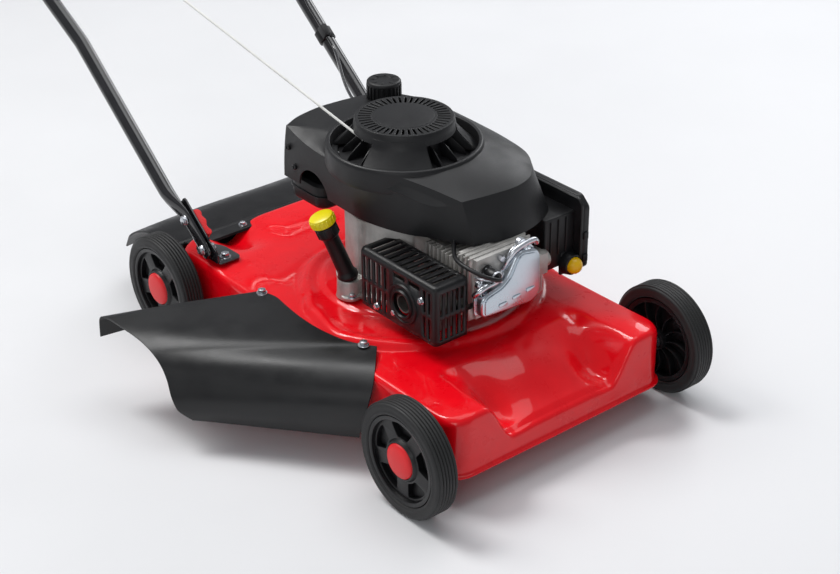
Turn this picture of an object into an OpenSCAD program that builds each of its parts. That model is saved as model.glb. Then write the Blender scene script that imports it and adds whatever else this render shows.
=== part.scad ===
// Petrol push lawn mower with side discharge. Millimetres, +Z up, ground at Z = 0.
// Front of the mower faces -Y, the operator stands at +Y, the discharge chute is at -X.

/* [Wheels] */
// Wheel diameter over the tread
wheel_d = 178; // [176:1:180]
// Tyre width
tyre_w = 40; // [36:1:42]
// Front track measured over the outer tyre faces
front_track = 552; // [552:1:560]
// Rear track measured over the outer tyre faces
rear_track = 536; // [536:1:544]
// Distance between front and rear axles
wheelbase = 636; // [634:1:638]

/* [Deck] */
// Sheet thickness of the deck as modelled
deck_wall = 2.5; // [2:0.5:3]
// Half width of the deck between the wheels
deck_half_w = 212; // [208:1:212]
// Height of the lower rim above the ground
rim_z = 48; // [46:1:50]

/* [Handle] */
// Handle slope above the horizontal, degrees
handle_slope = 38.8; // [38:0.2:39.6]
// Diameter of the lower handle tubes
lower_tube_d = 25; // [24:0.5:25]
// Diameter of the upper handle tube
upper_tube_d = 22; // [20:0.5:22]
// Distance along the handle from the pivot bolt to the hand bar
handle_len = 1270; // [1250:5:1290]

/* [Engine] */
// Outer radius of the recoil starter disc
recoil_r = 76.5; // [74:0.5:78]
// Height of the top of the recoil starter disc
recoil_top_z = 428; // [426:0.5:430]

/* [Hidden] */
$fn = 48;
e = 0.01;

wheel_r = wheel_d / 2;
crank_y = wheelbase / 2;
hub_cap_out = 1.5;
chute_out_x = 427.5;
pivot_y = 574;
pivot_z = 168;

// Colours
red_paint = [0.85, 0.02, 0.05];
black_paint = [0.05, 0.05, 0.055];
black_plastic = [0.09, 0.09, 0.1];
rubber_black = [0.06, 0.06, 0.06];
steel = [0.7, 0.7, 0.72];
cast_alu = [0.62, 0.62, 0.6];
yellow = [0.95, 0.85, 0.05];
rope_white = [0.9, 0.9, 0.88];

// Sub-parts are drawn with the front axle at Y = 0 and the mower's middle plane at X = 0;
// place() moves them so that the middle of the bounding box is over the origin.
handle_end_y = pivot_y + handle_len * cos(handle_slope) + upper_tube_d / 2;
front_axle_y = -(handle_end_y - wheel_r) / 2;
middle_x = (chute_out_x - front_track / 2 - hub_cap_out) / 2;
module place() translate([middle_x, front_axle_y, 0]) children();
module mirror_x(left) mirror([left ? 1 : 0, 0, 0]) children();

// A cylinder along X from x0 to x1 at (y, z).
module rod_x(x0, x1, y, z, r, fn = 32)
  translate([x0, y, z]) rotate([0, 90, 0]) cylinder(r = r, h = x1 - x0, $fn = fn);

// A cylinder along Y from y0 to y1 at (x, z).
module rod_y(y0, y1, x, z, r, fn = 32)
  translate([x, y0, z]) rotate([-90, 0, 0]) cylinder(r = r, h = y1 - y0, $fn = fn);

module box(lo, hi) translate(lo) cube(hi - lo);

module rounded_rect(x0, x1, y0, y1, r)
  translate([x0 + r, y0 + r]) offset(r = r) square([x1 - x0 - 2 * r, y1 - y0 - 2 * r]);

// ---------------------------------------------------------------- deck
deck_front_y = -45;
deck_rear_y = 656;
skirt_top_z = 140;
drum_r = 234;
drum_shoulder_z = 150;
platform_z = 160;
platform_r = 118;
front_corner_r = 36;
rear_corner_r = 8;
shoulder_x0 = 138;
hump_x0 = 150;
hump_x1 = 203.5;
shaft_hole_r = 24;
engine_bolt_r = 102;
chute_gap_y0 = 205;
chute_gap_y1 = 420;
axle_hole_r = 6.2;

module deck_solid(t) {
  translate([0, 0, rim_z - (t > 0 ? 1 : 0)])
    linear_extrude(skirt_top_z - rim_z - (t > 0 ? t - 1 : 0)) {
      rounded_rect(-deck_half_w + t, deck_half_w - t, deck_front_y + t, deck_rear_y - 60, front_corner_r - t);
      rounded_rect(-deck_half_w + t, deck_half_w - t, deck_front_y + 80, deck_rear_y - t, rear_corner_r - t);
    }
  translate([0, crank_y, 0]) rotate_extrude($fn = 96)
    polygon([[0, rim_z - (t > 0 ? 1 : 0)], [drum_r - t, rim_z - (t > 0 ? 1 : 0)],
      [drum_r - t, drum_shoulder_z - 12 - t / 2], [drum_r - 12 - t / 2, drum_shoulder_z - t],
      [platform_r + 12 - t / 2, drum_shoulder_z - t], [platform_r - t / 2, platform_z - t],
      [0, platform_z - t]]);
  for (side = [-1, 1]) {
    translate([side > 0 ? shoulder_x0 + t : -deck_half_w + t, deck_front_y + 6 + t, skirt_top_z - 30])
      cube([deck_half_w - shoulder_x0 - 2 * t, 128 - 2 * t, 46 - t]);
    translate([side > 0 ? hump_x0 + t : -hump_x1 + t, 532 + t, skirt_top_z - 30])
      cube([hump_x1 - hump_x0 - 2 * t, 98 - 2 * t, 40 - t]);
  }
}

module deck() color(red_paint) place() difference() {
  deck_solid(0);
  deck_solid(deck_wall);
  translate([0, crank_y, platform_z - 20]) cylinder(r = shaft_hole_r, h = 40);
  box([-drum_r - 10, chute_gap_y0, rim_z + 14], [-160, chute_gap_y1, skirt_top_z - 12]);
  for (side = [-1, 1]) {
    rod_x(side * deck_half_w - 8, side * deck_half_w + 8, 0, wheel_r, axle_hole_r);
    rod_x(side * deck_half_w - 8, side * deck_half_w + 8, wheelbase, wheel_r, axle_hole_r);
    for (y = [546, 600]) translate([side * 178, y, 130]) cylinder(r = 3.2, h = 40);
  }
  for (a = [45 : 90 : 315]) translate([engine_bolt_r * cos(a), crank_y + engine_bolt_r * sin(a), 130])
    cylinder(r = 4.2, h = 40);
  for (p = chute_bolt_at) translate([p[0], p[1], 120]) cylinder(r = 3.2, h = 40);
}

// ---------------------------------------------------------------- discharge chute
chute_bolt_at = [[-196, 412], [-180, 196]];
chute_wall = 3;
chute_top_z = drum_shoulder_z + 0.2;

// Ribs of the arch, low front edge first: each rib runs from the deck side to the outer mouth.
chute_deck_side = [[-243, 134, 47], [-240, 128, 108], [-217, 146, 146], [-192, 168, chute_top_z]];
chute_mouth = [[-400, 333, 47], [-418, 352, 82], [-418, 382, 122], [-420, 432, chute_top_z]];
chute_roof = [[-192, 168], [-170, 184], [-152, 236], [-166, 320], [-176, 434]];
chute_roof_mouth = [-426, 525];

module chute_node(p) translate(p) cylinder(r = chute_wall / 2, h = chute_wall, $fn = 16);

module discharge_chute() color(black_plastic) place() difference() {
  union() {
    for (i = [0 : 2]) hull() {
      chute_node(chute_deck_side[i]);
      chute_node(chute_deck_side[i + 1]);
      chute_node(chute_mouth[i]);
      chute_node(chute_mouth[i + 1]);
    }
    hull() {
      for (p = chute_roof) chute_node([p[0], p[1], chute_top_z]);
      chute_node(chute_mouth[3]);
      chute_node([chute_roof_mouth[0], chute_roof_mouth[1], chute_top_z]);
    }
    hull() {
      translate([-426, 525, 118]) cylinder(r = 1.5, h = 34, $fn = 16);
      translate([-262, 466, 128]) cylinder(r = 1.5, h = 24, $fn = 16);
    }
  }
  for (p = chute_bolt_at) translate([p[0], p[1], 140]) cylinder(r = 3.2, h = 30);
}

module bolt_down(x, y, z_seat, r_shank, depth, r_head, h_head) translate([x, y, z_seat]) {
  cylinder(r = r_head, h = h_head, $fn = 6);
  translate([0, 0, -depth]) cylinder(r = r_shank, h = depth + 1, $fn = 24);
}

module deck_bolts() color(steel) place() {
  for (p = chute_bolt_at) bolt_down(p[0], p[1], chute_top_z + chute_wall, 3, 12, 7, 5);
  for (side = [-1, 1]) for (y = [546, 600])
    bolt_down(side * 178, y, bracket_foot_z + 3, 3, 14, 7, 5);
}

// ---------------------------------------------------------------- handle brackets
latch_dist = 57.6;
bracket_foot_z = skirt_top_z + 10;
bracket_x0 = 200.5;
bracket_t = 3;

// Coordinates along the handle: l from the pivot bolt, o square to it on the upper side.
function along(l, o = 0) = [pivot_y + l * cos(handle_slope) - o * sin(handle_slope),
                            pivot_z + l * sin(handle_slope) + o * cos(handle_slope)];
function hp(x, l, o = 0) = [x, along(l, o)[0], along(l, o)[1]];

// Children drawn with Z along the handle, X kept, at distance l and height o.
module on_handle(x, l, o = 0) translate(hp(x, l, o)) rotate([handle_slope - 90, 0, 0]) children();

module bracket() difference() {
  union() {
    on_handle(0, 0) translate([bracket_x0, -17, -14]) cube([bracket_t, 34, 100]);
    on_handle(0, 0) translate([bracket_x0 - 12, 14, -10]) cube([12 + e, 3, 90]);
    box([164, 534, bracket_foot_z], [bracket_x0 + e, 612, bracket_foot_z + 3]);
    box([bracket_x0 - e, 545, bracket_foot_z], [bracket_x0 + bracket_t, 606, 178]);
  }
  rod_x(bracket_x0 - 5, bracket_x0 + 8, pivot_y, pivot_z, 4.1);
  on_handle(0, latch_dist) translate([bracket_x0 - 1, -28, -8]) cube([6, 33, 14]);
  for (y = [546, 600]) translate([178, y, 140]) cylinder(r = 3.2, h = 30);
  box([150, 520, bracket_foot_z - 40], [230, 640, bracket_foot_z]);
}

module handle_bracket_right() color(black_paint) place() mirror_x(true) bracket();
module handle_bracket_left() color(black_paint) place() bracket();

module pivot_bolts() color(steel) place() for (side = [0, 1]) mirror_x(side == 1) {
  rod_x(194, 212.6, pivot_y, pivot_z, 4);
  rod_x(212.4, 217, pivot_y, pivot_z, 7.5);
  rod_x(194, bracket_x0 - 0.1, pivot_y, pivot_z, 7, 6);
}

// ---------------------------------------------------------------- rear flap
rod_y0 = 668;
rod_z0 = 132;
module flap_rod() color(steel) place() {
  rod_x(-218, 218, rod_y0, rod_z0, 3);
  for (side = [-1, 1]) box([side * 205 - 2, deck_rear_y, rod_z0 - 5], [side * 205 + 2, rod_y0, rod_z0 + 5]);
}

module rear_flap() color(black_plastic) place() difference() {
  union() {
    rod_x(-200, 200, rod_y0, rod_z0, 6.5);
    translate([-216, 0, 0]) rotate([90, 0, 90]) linear_extrude(432) polygon([
      [rod_y0 + 8, rod_z0 + 2], [rod_y0 + 60, rod_z0 + 3], [rod_y0 + 120, rod_z0 - 14],
      [rod_y0 + 168, rod_z0 - 58], [rod_y0 + 164, rod_z0 - 60], [rod_y0 + 117, rod_z0 - 18],
      [rod_y0 + 59, rod_z0 - 1], [rod_y0 + 8, rod_z0 - 2]]);
    box([-200, rod_y0, rod_z0 - 3], [200, rod_y0 + 9, rod_z0 + 3]);
  }
  rod_x(-220, 220, rod_y0, rod_z0, 3.3);
}

// ---------------------------------------------------------------- wheels
rim_r = 69.3;
hub_r = 17;
cap_r = 27;
axle_r = 6;
axle_clear = 0.08;
spoke_count = 5;

// Wheel parts stand with the axle along +X; x = 0 is the outer face, +x goes inwards.
module tyre_shape() rotate([0, 90, 0]) rotate_extrude($fn = 96) difference() {
  polygon([[rim_r, 2], [wheel_r - 9, 0], [wheel_r - 3.5, 1.5], [wheel_r, 6],
    [wheel_r, tyre_w - 6], [wheel_r - 3.5, tyre_w - 1.5], [wheel_r - 9, tyre_w], [rim_r, tyre_w - 2]]);
  for (i = [1 : 6]) translate([wheel_r - 1.5, 3.6 + i * (tyre_w - 7.2) / 7 - 0.8]) square([3, 1.6]);
}

module rim_shape() rotate([0, 90, 0]) difference() {
  union() {
    rotate_extrude($fn = 96) polygon([[60, 3], [rim_r, 3], [rim_r, tyre_w - 3], [60, tyre_w - 3],
      [60, 22], [hub_r, 20], [hub_r, tyre_w - 1], [axle_r + axle_clear, tyre_w - 1],
      [axle_r + axle_clear, 6], [hub_r, 6], [hub_r, 16], [60, 17]]);
    for (i = [0 : spoke_count - 1]) rotate([0, 0, i * 360 / spoke_count])
      translate([hub_r - 1, -4, 7]) cube([62 - hub_r, 8, 10.5]);
    for (i = [0 : 11]) rotate([0, 0, i * 30 + 10])
      translate([hub_r - 1, -1.2, 19]) cube([62 - hub_r, 2.4, 14]);
  }
  translate([0, 0, -1]) cylinder(r = cap_r + 0.4, h = 7);
  translate([0, 0, 5.9]) cylinder(r = 11, h = 4);
}

module cap_shape() rotate([0, 90, 0]) rotate_extrude($fn = 64)
  polygon([[0, -1.5], [cap_r - 9, -1], [cap_r - 3, 0.3], [cap_r, 2.5], [cap_r, 6], [0, 6]]);

module wheel_at(left, track, y) place() mirror_x(left) translate([-track / 2, y, wheel_r]) children();

module front_right_rim() color(black_plastic) wheel_at(false, front_track, 0) rim_shape();
module front_right_tyre() color(rubber_black) wheel_at(false, front_track, 0) tyre_shape();
module front_right_hub_cap() color(red_paint) wheel_at(false, front_track, 0) cap_shape();
module front_left_rim() color(black_plastic) wheel_at(true, front_track, 0) rim_shape();
module front_left_tyre() color(rubber_black) wheel_at(true, front_track, 0) tyre_shape();
module front_left_hub_cap() color(red_paint) wheel_at(true, front_track, 0) cap_shape();
module rear_right_rim() color(black_plastic) wheel_at(false, rear_track, wheelbase) rim_shape();
module rear_right_tyre() color(rubber_black) wheel_at(false, rear_track, wheelbase) tyre_shape();
module rear_right_hub_cap() color(red_paint) wheel_at(false, rear_track, wheelbase) cap_shape();
module rear_left_rim() color(black_plastic) wheel_at(true, rear_track, wheelbase) rim_shape();
module rear_left_tyre() color(rubber_black) wheel_at(true, rear_track, wheelbase) tyre_shape();
module rear_left_hub_cap() color(red_paint) wheel_at(true, rear_track, wheelbase) cap_shape();

// Shoulder bolts: head under the hub cap, shank through the hub, collar against the deck side.
module axle_bolt(track, y) {
  face = -track / 2;
  rod_x(face + 6.3, face + 9.6, y, wheel_r, 10);
  rod_x(face + 9.5, -deck_half_w + 10, y, wheel_r, axle_r);
  rod_x(face + tyre_w + 0.4, -deck_half_w, y, wheel_r, 12);
  rod_x(-deck_half_w + deck_wall, -deck_half_w + 9, y, wheel_r, 10, 6);
}

module axle_bolts() color(steel) place() for (left = [false, true]) mirror_x(left) {
  axle_bolt(front_track, 0);
  axle_bolt(rear_track, wheelbase);
}

// ---------------------------------------------------------------- engine block
sump_z = platform_z + 0.2;
case_top_z = 286;
boss_at = [-112, 318];
module crankcase() color(cast_alu) place() difference() {
  union() {
    translate([0, crank_y, sump_z]) cylinder(r = 110, h = 8, $fn = 72);
    translate([0, crank_y, sump_z]) cylinder(r = 94, h = case_top_z - sump_z, $fn = 72);
    box([-48, 168, 196], [48, 240, 282]);
    for (i = [0 : 7]) box([-60, 132 + i * 9, 190], [60, 135 + i * 9, 282]);
    box([-46, 132, 198], [46, 200, 280]);
    translate([boss_at[0], boss_at[1], sump_z]) cylinder(r = 17, h = 30);
    box([boss_at[0], boss_at[1] - 16, sump_z], [-80, boss_at[1] + 16, sump_z + 30]);
  }
  translate([0, crank_y, 150]) cylinder(r = 12.6, h = 150);
  translate([0, crank_y, 178]) cylinder(r = 80, h = 96, $fn = 64);
  translate([boss_at[0], boss_at[1], sump_z + 6]) cylinder(r = 12, h = 40);
  for (a = [45 : 90 : 315]) translate([engine_bolt_r * cos(a), crank_y + engine_bolt_r * sin(a), 150])
    cylinder(r = 4.2, h = 50);
  rod_y(80, 250, 0, 240, 34);
}

module cylinder_head() color(cast_alu) place() difference() {
  union() {
    box([-52, 92, 194], [56, 131.8, 290]);
    for (i = [0 : 2]) box([-60, 100 + i * 10, 190], [60, 103 + i * 10, 292]);
  }
  rod_y(91, 121, -34, 268, 7.1);
  rod_x(-61, -40, 112, 214, 13);
  rod_x(40, 61, 118, 232, 11);
}

// Rocker cover with the corner cut away for the spark plug.
cover_outline = [[-56, 200], [40, 196], [60, 212], [58, 280], [46, 292], [18, 290], [-17, 250],
  [-44, 246], [-56, 236]];
module valve_cover() color(steel) place() {
  translate([0, 91.8, 0]) rotate([90, 0, 0]) linear_extrude(18) polygon(cover_outline);
  translate([0, 73.8, 0]) rotate([90, 0, 0]) linear_extrude(3) offset(delta = -4) polygon(cover_outline);
  for (i = [0 : 2]) box([-30 + i * 26, 69.2, 214 + i * 3], [-14 + i * 26, 70.8, 220 + i * 3]);
}

module engine_bolts() color(steel) place() {
  for (a = [45 : 90 : 315])
    bolt_down(engine_bolt_r * cos(a), crank_y + engine_bolt_r * sin(a), sump_z + 8, 4, 18, 7.5, 6);
  for (p = [[-47, 256], [-8, 282]]) rod_y(84, 91.9, p[0], p[1], 5, 6);
}

module spark_plug() color(steel) place() {
  rod_y(93, 120, -34, 268, 7);
  rod_y(86, 91.9, -34, 268, 9.5, 6);
  rod_y(66, 86.1, -34, 268, 8.5);
}

// A round cord swept along hand-chosen points.
function unit(v) = v / norm(v);
function tangent(p, i) = unit(p[min(i + 1, len(p) - 1)] - p[max(i - 1, 0)]);
function side_of(t) = unit(cross(t, abs(t[2]) < 0.9 ? [0, 0, 1] : [1, 0, 0]));
module cord(p, r, sides) {
  n = len(p);
  pts = [for (i = [0 : n - 1]) let (t = tangent(p, i), u = side_of(t), v = cross(t, u))
    for (k = [0 : sides - 1]) p[i] + r * (cos(k * 360 / sides) * u + sin(k * 360 / sides) * v)];
  walls = [for (i = [0 : n - 2], k = [0 : sides - 1])
    [i * sides + k, i * sides + (k + 1) % sides, (i + 1) * sides + (k + 1) % sides, (i + 1) * sides + k]];
  ends = [[for (k = [sides - 1 : -1 : 0]) k], [for (k = [0 : sides - 1]) (n - 1) * sides + k]];
  polyhedron(points = pts, faces = concat(walls, ends), convexity = 6);
}
function bezier(a, b, c, d, t) =
  a * pow(1 - t, 3) + 3 * b * pow(1 - t, 2) * t + 3 * c * (1 - t) * t * t + d * pow(t, 3);

lead_bend = [-70, 100, 286];
lead_route = concat(
  [for (i = [0 : 9]) bezier([-34, 65.5, 268], [-34, 45, 268], [-72, 50, 284], lead_bend, i / 9)],
  [for (i = [1 : 7]) bezier(lead_bend, [-69, 132, 287], [-44, 148, 281], [-30, 168, 304], i / 7)]);
module plug_lead() color(black_plastic) place() cord(lead_route, 3, 8);

// ---------------------------------------------------------------- exhaust
module muffler() color([0.35, 0.33, 0.32]) place() {
  box([-114, 104, 184], [-74, 246, 254]);
  rod_x(-127, -113.9, 170, 213, 15);
  rod_x(-74.1, -52.2, 112, 214, 9);
}

guard_x0 = -126;
guard_x1 = -66;
guard_y0 = 96;
guard_y1 = 268;
guard_z0 = 172;
guard_z1 = 268;
module muffler_guard() color(black_plastic) place() difference() {
  box([guard_x0, guard_y0, guard_z0], [guard_x1, guard_y1, guard_z1]);
  box([guard_x0 + 2.5, guard_y0 + 2.5, guard_z0 - 1], [guard_x1 + 1, guard_y1 - 2.5, guard_z1 - 2.5]);
  rod_x(guard_x0 - 1, guard_x0 + 4, 170, 213, 20);
  translate([0, crank_y, guard_z0 - 10]) cylinder(r = 97, h = 120);
  for (i = [0 : 3]) for (row = [0, 1])
    box([guard_x0 + 8 + i * 13, guard_y0 - 1, guard_z0 + 8 + row * 44],
      [guard_x0 + 15 + i * 13, guard_y0 + 4, guard_z0 + 42 + row * 44]);
  for (i = [0 : 8]) for (row = [0, 1]) if (i < 2 || i > 5)
    box([guard_x0 - 1, guard_y0 + 12 + i * 18, guard_z0 + 8 + row * 44],
      [guard_x0 + 4, guard_y0 + 22 + i * 18, guard_z0 + 42 + row * 44]);
  for (i = [0 : 10])
    box([guard_x0 + 10, guard_y0 + 10 + i * 14.4, guard_z1 - 4],
      [guard_x1 - 8, guard_y0 + 17 + i * 14.4, guard_z1 + 1]);
}

// ---------------------------------------------------------------- fuel and air
carb_y = 116;
carb_z = 232;
module carburettor() color(cast_alu) place() {
  rod_x(60.2, 107.8, carb_y, carb_z, 13);
  box([64, 100, 216], [98, 130, 250]);
  translate([82, carb_y, 186]) cylinder(r = 15, h = 31);
  translate([82, carb_y, 180]) cylinder(r = 5, h = 7, $fn = 6);
}

module governor_link() color(steel) place() {
  rod_x(-30, 62, 148, 294.5, 1.5, 16);
  rod_x(-18, 14, 148, 294.5, 4.5, 24);
  box([61, 146, 250.2], [63, 150, 297]);
  box([61, 124, 250.2], [90, 149, 252.2]);
}

box_x0 = 108;
box_x1 = 174;
box_y0 = 118;
box_y1 = 244;
cover_x1 = 193;
cover_z0 = 192;
hinge_bead_r = 2.5;
module air_filter_base() color(black_plastic) place() difference() {
  union() {
    box([box_x0, box_y0, 204], [box_x1, box_y1, 290]);
    box([160, box_y0, 289], [box_x1, box_y1, 308]);
    box([box_x1 - 6, 103, 192], [box_x1, 250, 314]);
    box([142, 112, 188], [box_x1 - 4, box_y0 + 1, 224]);
    rod_y(104, 113, 157, 206, 17);
    for (y = [128, 220]) {
      box([box_x1 - 5, y, 186], [cover_x1 + 4, y + 5, cover_z0 - hinge_bead_r - 0.3]);
      box([box_x1 - 5, y, 186], [box_x1, y + 5, 193]);
    }
  }
  box([box_x0 + 3, box_y0 + 3, 207], [box_x1 + 1, box_y1 - 3, 287]);
  rod_x(box_x0 - 1, box_x0 + 4, carb_y + 6, carb_z, 10);
  rod_y(100, 117, 157, 206, 13.6);
}

module primer_bulb() color(yellow) place() translate([157, 110.6, 206]) rotate([90, 0, 0]) {
  cylinder(r = 13.3, h = 8, $fn = 48);
  translate([0, 0, 8]) intersection() {
    sphere(r = 13.3, $fn = 48);
    translate([-20, -20, 0]) cube(40);
  }
}

module air_filter_cover() color(black_plastic) place() difference() {
  union() {
    box([box_x1 + 0.4, 103, cover_z0], [cover_x1, 250, 314]);
    rod_y(120, 233, cover_x1, cover_z0, hinge_bead_r);
    for (i = [0 : 3]) box([box_x1 + 18.9, 110, 236 + i * 9], [box_x1 + 20.4, 130, 240 + i * 9]);
  }
  box([box_x1, 106, cover_z0 + 3], [cover_x1 - 3, 247, 311]);
}

// Blower housing: a walled foot print with a shoulder that rises to the round lip.
housing_z0 = 292;
housing_z1 = 352;
lip_z = 391;
lip_r = 123;
lip_step = 4;
housing_wall = 3;
housing_foot = [[-66, 168], [-46, 134], [-6, 112], [96, 118], [142, 142], [156, 200], [158, 330],
  [140, 440], [96, 520], [-52, 530], [-98, 494], [-118, 420], [-122, 330], [-92, 270], [-76, 236]];

module housing_shape(t) {
  translate([0, 0, housing_z0 - (t > 0 ? 1 : 0)])
    linear_extrude(housing_z1 - housing_z0 - (t > 0 ? t - 1 : 0)) offset(delta = -t) polygon(housing_foot);
  hull() {
    translate([0, 0, housing_z1 - t - 2]) linear_extrude(2) offset(delta = -t - 0.4) polygon(housing_foot);
    translate([0, crank_y, lip_z - 17 - t]) cylinder(r = lip_r + lip_step - t, h = 1, $fn = 64);
    translate([70, 440, lip_z - 27 - t]) cylinder(r = 60 - t, h = 1, $fn = 32);
  }
}

// The brake cable ends in a stop on the housing's rear wall.
cable_stop_x = 92;
cable_stop_y = 536;
cable_stop_z = 338;
module blower_housing() color(black_plastic) place() difference() {
  union() {
    housing_shape(0);
    rod_y(519, cable_stop_y, cable_stop_x, cable_stop_z, 7);
    translate([0, crank_y, lip_z - 22]) cylinder(r = lip_r, h = 22, $fn = 96);
  }
  housing_shape(housing_wall);
  translate([0, crank_y, lip_z - 50]) cylinder(r = lip_r - housing_wall, h = 80, $fn = 96);
  translate([88, 478, 330]) cylinder(r = 24, h = 80);
  rod_x(-130, -60, 400, 292, 30);
  rod_y(cable_stop_y - 10, cable_stop_y + 1, cable_stop_x, cable_stop_z, 3.4);
}

cage_z0 = 372;
window_start = 134;
window_span = 58;
module recoil_housing() color(black_plastic) place() difference() {
  translate([0, crank_y, 0]) rotate_extrude($fn = 96) polygon([
    [lip_r - 3.2, cage_z0], [lip_r - 3.2, cage_z0 + 4], [lip_r - 12, cage_z0 + 4],
    [recoil_r + 6, recoil_top_z - 14], [recoil_r, recoil_top_z - 3], [recoil_r - 3, recoil_top_z],
    [0, recoil_top_z], [0, recoil_top_z - 4], [recoil_r - 5, recoil_top_z - 4],
    [recoil_r + 2.5, recoil_top_z - 15], [lip_r - 15.5, cage_z0]]);
  translate([0, crank_y, 0]) {
    for (a = [0 : 120 : 240]) rotate([0, 0, a + window_start]) rotate_extrude(angle = window_span, $fn = 96)
      translate([recoil_r - 8, cage_z0 + 6]) square([lip_r - recoil_r, recoil_top_z - cage_z0 - 21]);
    for (i = [0 : 43]) rotate([0, 0, i * 360 / 44]) translate([48, -1.7, recoil_top_z - 6])
      cube([22, 3.4, 8]);
  }
}

pulley_r = 57;
module recoil_pulley() color(black_plastic) place() translate([0, crank_y, 0]) difference() {
  rotate_extrude($fn = 72) polygon([[0, 392], [pulley_r + 6, 392], [pulley_r + 6, 394],
    [pulley_r, 396], [pulley_r, 402], [pulley_r + 6, 404], [pulley_r + 6, 406], [0, 406]]);
  for (a = [0 : 60 : 300]) rotate([0, 0, a]) translate([36, 0, 380]) cylinder(r = 11, h = 40);
}

module fuel_tank() color(black_plastic) place() {
  difference() {
    box([-96, 420, 238], [120, 520, 288]);
    box([-93, 423, 241], [117, 517, 285]);
    translate([88, 478, 280]) cylinder(r = 17, h = 20);
    translate([0, crank_y, 230]) cylinder(r = 104, h = 70, $fn = 72);
  }
  translate([88, 478, 287.5]) difference() {
    cylinder(r = 20, h = 88.5);
    translate([0, 0, -1]) cylinder(r = 17, h = 92);
  }
}

cap_top_z = 404;
module fuel_cap() color(black_plastic) place() translate([88, 478, 0]) difference() {
  union() {
    translate([0, 0, cap_top_z - 30]) cylinder(r = 28, h = 28, $fn = 72);
    translate([0, 0, cap_top_z - 3]) cylinder(r = 25, h = 3, $fn = 72);
    for (a = [0 : 15 : 345]) rotate([0, 0, a]) translate([26, -1.6, cap_top_z - 30]) cube([3.4, 3.2, 25]);
  }
  translate([0, 0, cap_top_z - 31]) cylinder(r = 20.6, h = 25);
}

// ---------------------------------------------------------------- oil filler
filler_foot = [boss_at[0], boss_at[1], 192];
filler_top = [-146, 338, 296];
filler_len = norm(filler_top - filler_foot);
module on_filler() translate(filler_foot)
  rotate([0, acos((filler_top[2] - filler_foot[2]) / filler_len),
          atan2(filler_top[1] - filler_foot[1], filler_top[0] - filler_foot[0])]) children();

module oil_filler_tube() color(black_plastic) place() difference() {
  union() {
    translate([boss_at[0], boss_at[1], sump_z + 6.2]) cylinder(r = 11.8, h = 30);
    on_filler() translate([0, 0, 4]) cylinder(r = 11, h = filler_len - 26);
    on_filler() translate([0, 0, filler_len - 34]) cylinder(r = 16, h = 22);
  }
  on_filler() translate([0, 0, 16]) cylinder(r = 8, h = filler_len);
  on_filler() translate([0, 0, filler_len - 26]) cylinder(r = 13, h = 20);
}

module dipstick() color(yellow) place() on_filler() {
  translate([0, 0, filler_len - 11.6]) cylinder(r = 20, h = 16);
  translate([0, 0, filler_len - 24]) cylinder(r = 12.4, h = 12.5);
  translate([0, 0, 20]) cylinder(r = 2.5, h = filler_len - 43);
}

// ---------------------------------------------------------------- turning parts
module crankshaft() color(steel) place() translate([0, crank_y, 0]) {
  translate([0, 0, 92]) cylinder(r = 12.5, h = 264);
  for (z = [212, 244]) translate([0, 0, z]) cylinder(r = 38, h = 10);
}

flywheel_z = 300;
module flywheel() color(cast_alu) place() translate([0, crank_y, 0]) difference() {
  union() {
    translate([0, 0, flywheel_z]) cylinder(r = 88, h = 16, $fn = 72);
    translate([0, 0, flywheel_z]) cylinder(r = 22, h = 40);
    for (a = [0 : 20 : 340]) rotate([0, 0, a]) translate([58, -1.5, flywheel_z + 15]) cube([28, 3, 26]);
  }
  translate([0, 0, flywheel_z - 1]) cylinder(r = 12.5, h = 60);
}

blade_z = 78;
blade_half = 218;
module blade_adapter() color(cast_alu) place() translate([0, crank_y, 0]) difference() {
  union() {
    translate([0, 0, 84]) cylinder(r = 30, h = 8);
    translate([0, 0, 84]) cylinder(r = 18, h = 40);
  }
  translate([0, 0, 92]) cylinder(r = 12.5, h = 40);
  translate([0, 0, 80]) cylinder(r = 5, h = 20);
}

module cutting_blade() color(steel) place() translate([0, crank_y, 0]) difference() {
  union() {
    translate([-26, -blade_half, blade_z]) cube([52, 2 * blade_half, 5.8]);
    for (a = [0, 180]) rotate([0, 0, a]) translate([18, blade_half - 78, blade_z + 5.7]) rotate([0, -30, 0])
      cube([22, 76, 3]);
  }
  translate([0, 0, blade_z - 1]) cylinder(r = 5.2, h = 10);
  for (a = [0, 180]) rotate([0, 0, a]) translate([-40, blade_half - 78, blade_z - 1]) rotate([0, 0, 0])
    rotate([0, 0, -6]) cube([15, 100, 10]);
}

module blade_bolt() color(steel) place() translate([0, crank_y, 0]) {
  translate([0, 0, blade_z - 9]) cylinder(r = 9, h = 7, $fn = 6);
  translate([0, 0, blade_z - 2.2]) cylinder(r = 18, h = 2.2);
  translate([0, 0, blade_z - 1]) cylinder(r = 4.9, h = 14.9);
}

// ---------------------------------------------------------------- starter rope
rope_exit = [-63.8, 331.6, 399];
guide_l = 850;
guide_o = 29;
splay_x = 229;
guide_pos = hp(-splay_x, guide_l, guide_o);
module starter_rope() color(rope_white) place()
  cord([for (i = [0 : 20]) rope_exit + (guide_pos - rope_exit) * i / 20], 2, 8);

module rope_guide() color(steel) place() {
  on_handle(-splay_x, guide_l, guide_o) rotate_extrude($fn = 48) translate([9, 0]) circle(r = 2.2, $fn = 16);
  on_handle(-splay_x, guide_l, lower_tube_d / 2) translate([-3, -7, -2]) cube([6, 7, 4]);
}

module starter_grip() color(black_plastic) place() on_handle(-splay_x, guide_l + 20, guide_o + 4)
  difference() {
    union() {
      rotate([0, 90, 0]) translate([0, 0, -46]) cylinder(r = 12, h = 92);
      translate([0, 0, -14]) cylinder(r = 7, h = 12);
    }
    translate([0, 0, -16]) cylinder(r = 2.4, h = 8);
  }

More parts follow.
